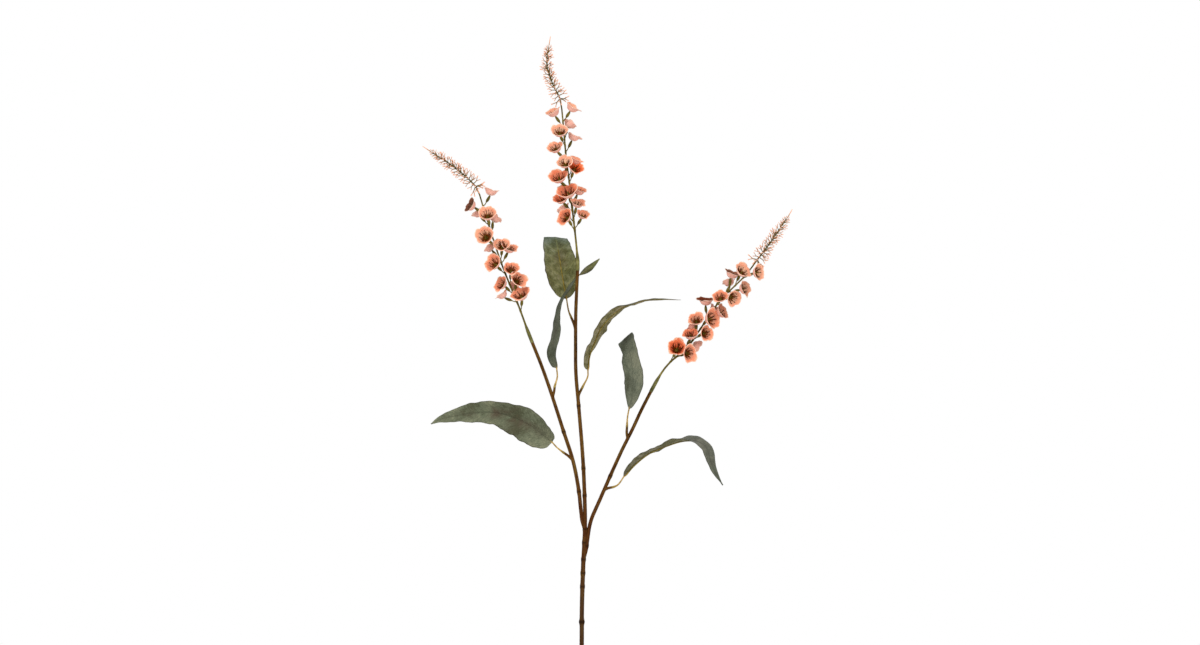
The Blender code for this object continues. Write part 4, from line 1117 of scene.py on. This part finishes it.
leaf_cloths = []
for name, (deep, middle, light, vein, edge, rough, cloud) in LEAF_LOOKS.items():
    cloth, tree = start_material(name, Roughness=rough, IOR=1.45, Specular_IOR_Level=0.06)
    measure = add(tree, "Attribute", attribute_name="leaf").outputs["Vector"]
    world = add(tree, "TexCoord").outputs["Object"]
    parts = add(tree, "SeparateXYZ", measure)
    clouds = add(tree, "TexNoise", world, {"Scale": per_metre(cloud), "Detail": 4.0, "Roughness": 0.6})
    rust = add(tree, "TexNoise", world, {"Scale": per_metre(29.41), "Detail": 4.0, "Distortion": 0.8})
    rusty = add(tree, "MapRange", rust, {"From Min": 0.42, "From Max": 0.6, "To Max": 0.9})
    wander = add(tree, "TexNoise", measure, {"Scale": 0.12, "Detail": 2.0})
    across = add(tree, "Math", parts.outputs["Y"], operation="ABSOLUTE")
    phase = add(tree, "Math", across, -VEIN_SLANT, parts.outputs["X"], operation="MULTIPLY_ADD")
    phase = add(tree, "Math", wander, VEIN_WANDER, phase, operation="MULTIPLY_ADD")
    phase = add(tree, "Math", phase, VEIN_SPACING, operation="DIVIDE")
    half = add(tree, "Math", parts.outputs["Z"], 0.0, operation="GREATER_THAN")
    feather_at = add(tree, "Math", across, 0.05, half, operation="MULTIPLY_ADD")
    feather_at = add(tree, "CombineXYZ", {"X": phase, "Y": feather_at})
    feather = add(tree, "TexNoise", feather_at, {"Scale": 4.5, "Detail": 3.0, "Roughness": 0.7})
    feather = add(tree, "Math", feather, 0.5, operation="SUBTRACT")
    feathered = add(tree, "Math", feather, 0.6, clouds, operation="MULTIPLY_ADD")
    ground = add(tree, "ValToRGB", feathered, stops=[(0.32, deep), (0.5, middle), (0.68, light)])
    off = add(tree, "Math", phase, 1.0, operation="PINGPONG")
    side_vein = add(tree, "MapRange", off, {"From Min": 0.2, "From Max": 0.0, "To Max": 0.8},
                    interpolation_type="SMOOTHSTEP")
    cells = add(tree, "TexVoronoi", measure, {"Scale": 1 / NET_CELL}, feature="DISTANCE_TO_EDGE")
    net = add(tree, "MapRange", cells, {"From Min": 0.22, "From Max": 0.0, "To Max": 0.5})
    rib = add(tree, "MapRange", across, {"From Min": 1.6, "From Max": 0.4}, interpolation_type="SMOOTHSTEP")
    lines = add(tree, "Math", side_vein, net, operation="MAXIMUM")
    lines = add(tree, "Math", lines, rib, operation="MAXIMUM")
    tint = add(tree, "Math", lines, 0.4, operation="MULTIPLY")
    creased = add(tree, "MapRange", across, {"From Min": 11.0, "From Max": 1.0, "To Min": 0.25})
    rusty = add(tree, "Math", rusty, creased, operation="MULTIPLY")
    rusty = add(tree, "Math", rusty, add(tree, "Attribute", attribute_name="rust").outputs["Fac"],
                operation="MULTIPLY")
    rim = add(tree, "Math", parts.outputs["Z"], operation="ABSOLUTE")
    rim = add(tree, "MapRange", rim, {"From Min": 0.93, "From Max": 0.99, "To Max": 0.8})
    colour = ground
    for cover, coat in ((rusty, "#4a382c"), (tint, vein), (rim, edge)):
        colour = add(tree, "Mix", {"Factor": cover, "A": colour, "B": linear(coat)}, data_type="RGBA")
    weave = add(tree, "TexNoise", measure, {"Scale": 1 / WEAVE_CELL, "Detail": 3.0})
    relief = add(tree, "Math", weave, 0.35, lines, operation="MULTIPLY_ADD")
    bump = add(tree, "Bump", {"Strength": 0.55, "Distance": 0.35 * MM, "Height": relief},
               invert=name.endswith("upper"))
    toned = add(tree, "VectorMath", colour, add(tree, "Attribute", attribute_name="tone").outputs["Vector"],
                operation="MULTIPLY")
    shade(cloth, Base_Color=toned, Normal=bump)
    leaf_cloths.append(cloth)
    print(cloth.name, len(tree.nodes), "nodes")

# %% [markdown]
# ## The tree for leaf blades
# A blade is the clearest rule of all. The tree takes a flat grid and the midrib, which carries the way that
# the upper side faces and how far each half turns up. For each point of the grid it finds the place on the
# midrib, steps out across it by the leaf's half width there, and lifts the edge in waves and finer ruffles.
# The grid's rows are drawn closer together in the middle, where the crease is.

# %% Build the leaf tree
LEAF_INPUTS = ("Width", "End_width", "Widest", "Fullness", "Wave", "Waves", "Ruffle", "Uneven", "Seed")

tree, given = start_tree("Leaf blade", **{label: "Float" for label in LEAF_INPUTS})
rib = add(tree, "MeshToCurve", given["Geometry"])
grid = add(tree, "MeshGrid", {"Size X": 1.0, "Size Y": 2.0, "Vertices X": 121, "Vertices Y": 29})
spot = add(tree, "SeparateXYZ", add(tree, "InputPosition"))
share = add(tree, "Math", spot.outputs["X"], 0.5, operation="ADD", use_clamp=True)
right_half = add(tree, "Math", spot.outputs["Y"], 0.0, operation="GREATER_THAN")
spread = add(tree, "Math", spot.outputs["Y"], operation="ABSOLUTE")
spread = add(tree, "Math", spread, 1.35, operation="POWER")
sign = add(tree, "Math", spot.outputs["Y"], operation="SIGN")
reach = add(tree, "Math", spread, sign, operation="MULTIPLY")
facing = add(tree, "InputNamedAttribute", {"Name": "facing"}, data_type="FLOAT_VECTOR")
rib_at = add(tree, "SampleCurve", {"Curves": rib, "Value": facing, "Factor": share}, mode="FACTOR",
             data_type="FLOAT_VECTOR", use_all_curves=True)
turns = []
for half in ("right", "left"):
    angle = add(tree, "InputNamedAttribute", {"Name": half}, data_type="FLOAT")
    turns.append(add(tree, "SampleCurve", {"Curves": rib, "Value": angle, "Factor": share}, mode="FACTOR",
                     data_type="FLOAT", use_all_curves=True))
turned = add(tree, "Mix", {"Factor": right_half, "A": turns[1].outputs[0], "B": turns[0].outputs[0]},
             data_type="FLOAT")
across = add(tree, "VectorMath", rib_at.outputs["Tangent"], rib_at.outputs[0], operation="CROSS_PRODUCT")
across = add(tree, "VectorMath", across, operation="NORMALIZE")
across = add(tree, "VectorRotate", {"Vector": across, "Axis": rib_at.outputs["Tangent"], "Angle": turned},
             rotation_type="AXIS_ANGLE")
above = add(tree, "VectorMath", across, rib_at.outputs["Tangent"], operation="CROSS_PRODUCT")
print("the leaf tree has", len(tree.nodes), "nodes so far")

# %% [markdown]
# The half width follows one arch of a sine along the leaf. One exponent moves its widest place, another
# makes it fuller, and it never goes below the width of the end. A noise along each side makes the edge
# uneven.

# %% Give the blade its width
bow = add(tree, "Math", share, given["Widest"], operation="POWER")
bow = add(tree, "Math", bow, math.pi, operation="MULTIPLY")
bow = add(tree, "Math", bow, operation="SINE")
bow = add(tree, "Math", bow, 0.0, operation="MAXIMUM")
bow = add(tree, "Math", bow, given["Fullness"], operation="POWER")
half_full = add(tree, "Math", given["Width"], 0.5, operation="MULTIPLY")
half_end = add(tree, "Math", given["End width"], 0.5, operation="MULTIPLY")
half_width = add(tree, "Math", bow, half_full, operation="MULTIPLY")
half_width = add(tree, "Math", half_width, half_end, operation="MAXIMUM")
nibble_at = add(tree, "Math", share, 12.0, given["Seed"], operation="MULTIPLY_ADD")
nibble_at = add(tree, "CombineXYZ", {"X": nibble_at, "Y": sign})
nibble = add(tree, "TexNoise", nibble_at, {"Scale": 1.0, "Detail": 1.0})
nibble = add(tree, "Math", nibble, 0.5, operation="SUBTRACT")
nibble = add(tree, "Math", nibble, given["Uneven"], 1.0, operation="MULTIPLY_ADD")
half_width = add(tree, "Math", half_width, nibble, operation="MULTIPLY")
out_by = add(tree, "Math", reach, half_width, operation="MULTIPLY")
print("the leaf tree has", len(tree.nodes), "nodes so far")

# %% [markdown]
# The blade rises and falls in a slow sine and in finer ruffles of noise. Both are strongest at the edge and
# weaker where the leaf is narrow. Last, each point of the grid goes to its place and keeps its measure for
# the paint.

# %% Wave the edge and place the grid
wave = add(tree, "Math", share, given["Waves"], operation="MULTIPLY")
wave = add(tree, "Math", wave, math.tau, operation="MULTIPLY")
wave = add(tree, "Math", wave, operation="SINE")
wave = add(tree, "Math", wave, given["Wave"], operation="MULTIPLY")
long_way = add(tree, "Math", share, 9.0, given["Seed"], operation="MULTIPLY_ADD")
ruffle_at = add(tree, "CombineXYZ", {"X": long_way, "Y": reach})
ruffle = add(tree, "TexNoise", ruffle_at, {"Scale": 1.0, "Detail": 1.0})
ruffle = add(tree, "Math", ruffle, 0.5, operation="SUBTRACT")
ruffle = add(tree, "Math", ruffle, given["Ruffle"], wave, operation="MULTIPLY_ADD")
edge = add(tree, "Math", reach, reach, operation="MULTIPLY")
ruffle = add(tree, "Math", ruffle, edge, operation="MULTIPLY")
slim = add(tree, "Math", half_width, half_full, operation="DIVIDE")
lift = add(tree, "Math", ruffle, slim, operation="MULTIPLY")
outwards = add(tree, "VectorMath", across, {"Scale": out_by}, operation="SCALE")
upwards = add(tree, "VectorMath", above, {"Scale": lift}, operation="SCALE")
there = add(tree, "VectorMath", rib_at.outputs["Position"], outwards, operation="ADD")
there = add(tree, "VectorMath", there, upwards, operation="ADD")
length = add(tree, "CurveLength", rib)
length = add(tree, "Math", length, share, operation="MULTIPLY")
measure = add(tree, "CombineXYZ", {"X": length, "Y": out_by})
measure = add(tree, "VectorMath", measure, {"Scale": 1 / MM}, operation="SCALE")
measure = add(tree, "VectorMath", measure, add(tree, "CombineXYZ", {"Z": reach}), operation="ADD")
blade = add(tree, "StoreNamedAttribute", {"Geometry": grid, "Name": "leaf", "Value": measure},
            data_type="FLOAT_VECTOR", domain="POINT")
blade = add(tree, "SetPosition", {"Geometry": blade, "Position": there})
end_tree(tree, add(tree, "FlipFaces", blade))
leaf_tree = tree

# %% [markdown]
# ## Tan leaf stalks and midribs
# A wire in tan polyethylene runs from the stem's stub, where its foot is swollen and olive, up to the blade
# and on along its underside as the midrib, where it is painted olive yellow. It thins out towards the
# leaf's point, and on some leaves it ends well before it. The paint drifts in patches some 4 mm long.

# %% Material: tan moulded leaf wire
wire_tan, tree = start_material("tan_moulded_leaf_wire", Roughness=0.55, IOR=1.5, Specular_IOR_Level=0.08)
leafy = add(tree, "Attribute", attribute_name="leafy").outputs["Fac"]
place = add(tree, "TexCoord").outputs["Object"]
drift = add(tree, "TexNoise", place, {"Scale": per_metre(3.846), "Detail": 3.0})
bare = add(tree, "ValToRGB", drift, stops=[(0.3, "#836a2c"), (0.5, "#ad8c48"), (0.7, "#d0b274")])
painted = add(tree, "ValToRGB", drift, stops=[(0.3, "#5e501c"), (0.5, "#77682b"), (0.7, "#93833f")])
tan_colour = add(tree, "Mix", {"Factor": leafy, "A": bare, "B": painted}, data_type="RGBA")
bump = add(tree, "Bump", {"Strength": 0.3, "Distance": 0.2 * MM, "Height": drift})
shade(wire_tan, Base_Color=tan_colour, Normal=bump)
print(wire_tan.name, len(tree.nodes), "nodes")

# %% Measure a blade and its wire
LEAF_WIDTH = 39 * MM
LEAF_END_WIDTH = 1.6 * MM
LEAF_THICKNESS = 0.4 * MM
LEAF_WAVE = 1.6 * MM
LEAF_WAVES = 2.6
RUFFLE_REACH = 25 * MM
RIB_STEPS = 120
WIRE_RADIUS = 1.1
WIRE_STALK_TAPER = 0.25
WIRE_RIB_TAPER = 0.8
WIRE_FOOT_SWELL = 0.5
WIRE_FOOT_STEPS = 3
WIRE_SUNK = -0.9
WIRE_SINKS_OVER = 1 / 40
SEED_STEP = 7.3
WIRE_STALK_STEPS = 13
WIRE_RIB_STEPS = 69


def leaf_frame(leaf, share, way):
    """Which way the blade's upper side faces at the midrib, from its two halves."""
    facing = between([Vector(face).normalized() for face in leaf.faces], share)
    across = way.cross(facing).normalized()
    above = Vector()
    for angle in (-between(leaf.right, share), between(leaf.left, share)):
        turned = across.copy()
        turned.rotate(Matrix.Rotation(math.radians(angle), 3, way))
        above += turned.cross(way)
    return above.normalized()


def tone_leaf(blade, leaf, whole):
    """Stores on each point how far this leaf's colour is from the shared recipe, and how rusty it is."""
    tones = [Vector(tone) for tone in leaf.tones]
    places = [point.vector.x * MM / whole for point in blade.data.attributes["leaf"].data]
    tone = blade.data.attributes.new("tone", "FLOAT_VECTOR", "POINT")
    for here, share in zip(tone.data, places):
        here.vector = between(tones, share)
    rust = blade.data.attributes.new("rust", "FLOAT", "POINT")
    for here, share in zip(rust.data, places):
        here.value = between(leaf.rust, share)


print("the widest blade is", round(LEAF_WIDTH * max(leaf.width for leaf in LEAVES) / MM), "mm across")

# %% [markdown]
# Each blade comes from the leaf tree and then gets the cloth's thickness, which puts the under side's
# material on its other side. Its wire is one line, from the stub up the stalk and along under the midrib,
# with its top just inside the cloth.

# %% Make the leaves
for k, leaf in enumerate(LEAVES):
    rib = smooth(leaf.midrib, 16)
    whole = length_of(rib)
    run = []
    for j in range(RIB_STEPS + 1):
        share = j / RIB_STEPS
        facing = between([Vector(face).normalized() for face in leaf.faces], share)
        run.append((on_line(rib, whole * share)[0],
                    {"facing": facing, "right": -math.radians(between(leaf.right, share)),
                     "left": math.radians(between(leaf.left, share))}))
    blade = run_tree(leaf.name + "_blade", [run], leaf_tree, Width=LEAF_WIDTH * leaf.width,
                     End_width=LEAF_END_WIDTH, Widest=leaf.profile[0], Fullness=leaf.profile[1],
                     Wave=LEAF_WAVE, Waves=LEAF_WAVES, Ruffle=leaf.uneven * RUFFLE_REACH, Uneven=leaf.uneven,
                     Seed=k * SEED_STEP, Material=leaf_cloths[0])
    blade.data.materials.append(leaf_cloths[1])
    wall = blade.modifiers.new("Thickness", "SOLIDIFY")
    wall.thickness = LEAF_THICKNESS
    wall.offset = 0
    wall.material_offset = 1
    blade = settle(blade, leaf.name + "_blade")
    tone_leaf(blade, leaf, whole)
    hand_over(blade, leaf.name)

    stalk = smooth(leaf.stalk, 12)[12 * (STUB_POINTS - 1) - 3:]
    run = []
    for j in range(WIRE_STALK_STEPS):
        radius = WIRE_RADIUS - WIRE_STALK_TAPER * j / WIRE_STALK_STEPS
        radius += WIRE_FOOT_SWELL * math.exp(-(j / WIRE_FOOT_STEPS) ** 2)
        run.append((on_line(stalk, length_of(stalk) * j / WIRE_STALK_STEPS)[0],
                    {"radius": radius * MM, "leafy": max(0.0, 0.8 - 0.2 * j)}))
    for j in range(WIRE_RIB_STEPS + 1):
        share = j / WIRE_RIB_STEPS
        spot, way = on_line(rib, whole * leaf.rib_run * share)
        radius = (WIRE_RADIUS - WIRE_RIB_TAPER * share) * MM
        sunk = leaf_frame(leaf, share * leaf.rib_run, way) * radius * WIRE_SUNK
        sunk *= min(1, share / WIRE_SINKS_OVER)
        run.append((spot + sunk, {"radius": radius, "leafy": min(1.0, share * 16)}))
    wire = run_tree(leaf.name + "_wire", [run], stem_tree, Sides=10, Grain_height=0.12 * MM,
                    Grain_length=3 * MM, Seed=float(k), Material=wire_tan)
    hand_over(wire, leaf.name)

# %% [markdown]
# ## The glaze
# A satin stoneware glaze, fired on a thrown body, is a little uneven: warm white in clouds some 45 mm wide,
# thinner and browner where it runs off the lip, with a few iron specks about a millimetre wide, as large as
# they have to be to show. The foot is left bare. The specks are the thresholded cells of a Voronoi pattern,
# one in ten of them and 4 mm apart, and the lip and the foot are found by their height.

# %% Material: satin stoneware glaze
LIP_START = 245.5 * MM
LIP_END = 249.5 * MM
BARE_FOOT = 1.6 * MM

glaze, tree = start_material("satin_stoneware_glaze", IOR=1.5, Coat_Weight=0.3, Coat_Roughness=0.2)
place = add(tree, "TexCoord").outputs["Object"]
height = add(tree, "SeparateXYZ", place).outputs["Z"]
clouds = add(tree, "TexNoise", place, {"Scale": per_metre(45.45), "Detail": 4.0})
ground = add(tree, "ValToRGB", clouds, stops=[(0.3, "#cfc7b6"), (0.5, "#dad4c6"), (0.7, "#e4dfd3")])
lip = add(tree, "MapRange", height, {"From Min": LIP_START, "From Max": LIP_END, "To Max": 0.7})
cells = add(tree, "TexVoronoi", place, {"Scale": per_metre(3.846)})
rare = add(tree, "SeparateXYZ", cells.outputs["Color"]).outputs["X"]
chosen = add(tree, "Math", rare, 0.9, operation="GREATER_THAN")
near = add(tree, "MapRange", cells.outputs["Distance"], {"From Min": 0.22, "From Max": 0.1})
speck = add(tree, "Math", chosen, near, operation="MULTIPLY")
bare = add(tree, "Math", height, BARE_FOOT, operation="LESS_THAN")
colour = ground
for cover, coat in ((lip, "#9c7f5e"), (speck, "#6f5438"), (bare, "#b79c78")):
    colour = add(tree, "Mix", {"Factor": cover, "A": colour, "B": linear(coat)}, data_type="RGBA")
gloss = add(tree, "MapRange", clouds, {"To Min": 0.26, "To Max": 0.42})
bump = add(tree, "Bump", {"Strength": 0.25, "Distance": 0.4 * MM, "Height": clouds})
shade(glaze, Base_Color=colour, Roughness=gloss, Normal=bump)
print(glaze.name, len(tree.nodes), "nodes")

# %% [markdown]
# ## The vase
# A thrown bottle vase is one outline turned round an axis, with the faint rings that a potter's fingers
# leave every few millimetres. So the tree rolls a grid round the axis: one way along the outline, from the
# middle of the foot up the outside, over the lip and down the inside, and the other way round. It adds the
# rings where the outline says that it is outside.

# %% Build the turning tree
tree, given = start_tree("Turned from an outline", Ring_height="Float", Ring_spacing="Float", Steps="Int",
                         Round="Int")
outline = add(tree, "MeshToCurve", given["Geometry"])
grid = add(tree, "MeshGrid",
           {"Size X": 1.0, "Size Y": 1.0, "Vertices X": given["Steps"], "Vertices Y": given["Round"]})
spot = add(tree, "SeparateXYZ", add(tree, "InputPosition"))
share = add(tree, "Math", spot.outputs["X"], 0.5, operation="ADD", use_clamp=True)
angle = add(tree, "Math", spot.outputs["Y"], math.tau, operation="MULTIPLY")
outside = add(tree, "InputNamedAttribute", {"Name": "outside"}, data_type="FLOAT")
at = add(tree, "SampleCurve", {"Curves": outline, "Value": outside, "Factor": share}, mode="FACTOR",
         data_type="FLOAT", use_all_curves=True)
flat = add(tree, "SeparateXYZ", at.outputs["Position"])
rings = add(tree, "Math", flat.outputs["Z"], given["Ring spacing"], operation="DIVIDE")
rings = add(tree, "Math", rings, math.tau, operation="MULTIPLY")
rings = add(tree, "Math", rings, angle, operation="ADD")
rings = add(tree, "Math", rings, operation="SINE")
rings = add(tree, "Math", rings, given["Ring height"], operation="MULTIPLY")
radius = add(tree, "Math", rings, at.outputs[0], flat.outputs["X"], operation="MULTIPLY_ADD")
eastward = add(tree, "Math", add(tree, "Math", angle, operation="COSINE"), radius, operation="MULTIPLY")
northward = add(tree, "Math", add(tree, "Math", angle, operation="SINE"), radius, operation="MULTIPLY")
there = add(tree, "CombineXYZ", {"X": eastward, "Y": northward, "Z": flat.outputs["Z"]})
turned = add(tree, "SetPosition", {"Geometry": grid, "Position": there})
end_tree(tree, add(tree, "MergeByDistance", {"Geometry": turned, "Distance": 0.02 * MM}))
turn_tree = tree

# %% [markdown]
# The wall is 5 mm thick, so the inside is the outside moved in by that much along its own normals. The lip
# is rounded and the foot has a small bevel, as on the solid.

# %% Turn the vase
VASE_OUTLINE = ((43, 0), (64, 72), (60, 124), (32, 166), (14, 198), (12.9, 228), (17, 250))
VASE_BASE = ((0, 0), (20, 0), (40.5, 0), (42.4, 0.5))
FOOT_BEVEL = 1.6 * MM
LIP_ROUND = 1.8 * MM
LIP_TURNS = (0.3, 0.7, 1.1, math.pi / 2)
RING_FADE = 6

side = smooth([(r, 0, z) for r, z in VASE_OUTLINE], 14)
inner_side = []
for k, spot in enumerate(side):
    way = (side[min(k + 1, len(side) - 1)] - side[max(k - 1, 0)]).normalized()
    inner_side.append(spot + Vector((-way.z, 0, way.x)) * VASE_WALL)
top = side[-1].z
outer = [spot for spot in side if FOOT_BEVEL < spot.z < top - LIP_ROUND]
inner = [spot for spot in inner_side if VASE_WALL + FOOT_BEVEL < spot.z < top - LIP_ROUND]
lip_sides = ((outer[-1].x + 0.2 * MM, -1, LIP_TURNS), (inner[-1].x - 0.1 * MM, 1, LIP_TURNS[::-1]))
lip = []
for edge, way, turns in lip_sides:
    for turn in turns:
        lip.append(Vector((edge + way * LIP_ROUND * (1 - math.cos(turn)), 0,
                           top - LIP_ROUND * (1 - math.sin(turn)))))
base = [Vector((r, 0, z)) * MM for r, z in VASE_BASE]
floor_inside = [Vector((r, 0, VASE_WALL)) for r in (inner[0].x - 1.2 * MM, 20 * MM, 0)]
run = [(spot, {"outside": 0.0}) for spot in base]
run += [(spot, {"outside": min(1.0, k / RING_FADE, (len(outer) - 1 - k) / RING_FADE)})
        for k, spot in enumerate(outer)]
run += [(spot, {"outside": 0.0}) for spot in (*lip, *reversed(inner), *floor_inside)]
vase = run_tree("vase_turned", [run], turn_tree, Ring_height=0.16 * MM, Ring_spacing=5.5 * MM, Steps=300,
                Round=97, Material=glaze)
bm = bmesh.new()
bm.from_mesh(vase.data)
bmesh.ops.recalc_face_normals(bm, faces=bm.faces)
bm.to_mesh(vase.data)
bm.free()
hand_over(vase, "vase")

# %% [markdown]
# ## Floor, background and light
# The light is a studio's: a white room gives soft light from all sides, a large lamp high on the left
# shapes the pieces, and weaker ones on the right and behind open the shadows and light the edges. The floor
# is a pale disc of paper that is not part of the object. It ends before it would enter the picture, so what
# lies behind the spray stays white.

# %% Light the scene
FLOOR_RADIUS = 2.4
AIM = Vector((0, 0, 0.65))
LAMPS = {
    "key": ((-1.7, -2.6, 2.6), 1.6, 70),
    "fill": ((2.4, -2.4, 1.4), 1.8, 42),
    "rim": ((0.6, 2.6, 2.2), 1.4, 24),
}

bm = bmesh.new()
bmesh.ops.create_circle(bm, cap_ends=True, segments=96, radius=FLOOR_RADIUS)
floor_mesh = bpy.data.meshes.new("floor")
bm.to_mesh(floor_mesh)
bm.free()
floor = bpy.data.objects.new("floor", floor_mesh)
bpy.context.scene.collection.objects.link(floor)
paper, tree = start_material("white_paper_floor", Roughness=0.9)
place = add(tree, "TexCoord").outputs["Object"]
fibres = add(tree, "TexNoise", place, {"Scale": per_metre(33.33)})
shade(paper, Base_Color=add(tree, "ValToRGB", fibres, stops=[(0.3, "#f1f0ee"), (0.7, "#f5f4f2")]))
floor.data.materials.append(paper)

room = bpy.data.worlds.new("white_room")
room.use_nodes = True
tree = room.node_tree
seen = add(tree, "Background", {"Color": (1, 1, 1, 1), "Strength": 1.0})
felt = add(tree, "Background", {"Color": linear("#fbfbff"), "Strength": 0.62})
mixed = add(tree, "MixShader", add(tree, "LightPath").outputs["Is Camera Ray"], felt, seen)
feed(tree, tree.nodes["World Output"].inputs["Surface"], mixed)
bpy.context.scene.world = room
bpy.context.scene.view_settings.view_transform = "Standard"

for name, (spot, width, power) in LAMPS.items():
    lamp = bpy.data.objects.new(name, bpy.data.lights.new(name, "AREA"))
    lamp.data.size = width
    lamp.data.energy = power
    lamp.location = spot
    lamp.rotation_euler = (AIM - Vector(spot)).to_track_quat("-Z", "Y").to_euler()
    bpy.context.scene.collection.objects.link(lamp)
print(len(LAMPS), "lamps")

# %% [markdown]
# ## Tidy up
# The small shapes that the trees copied are no longer needed.

# %% Finish
for shapes in (spindles, cups, stamens, pistils, bristles):
    for shape in list(shapes.objects):
        bpy.data.objects.remove(shape)
    bpy.data.collections.remove(shapes)
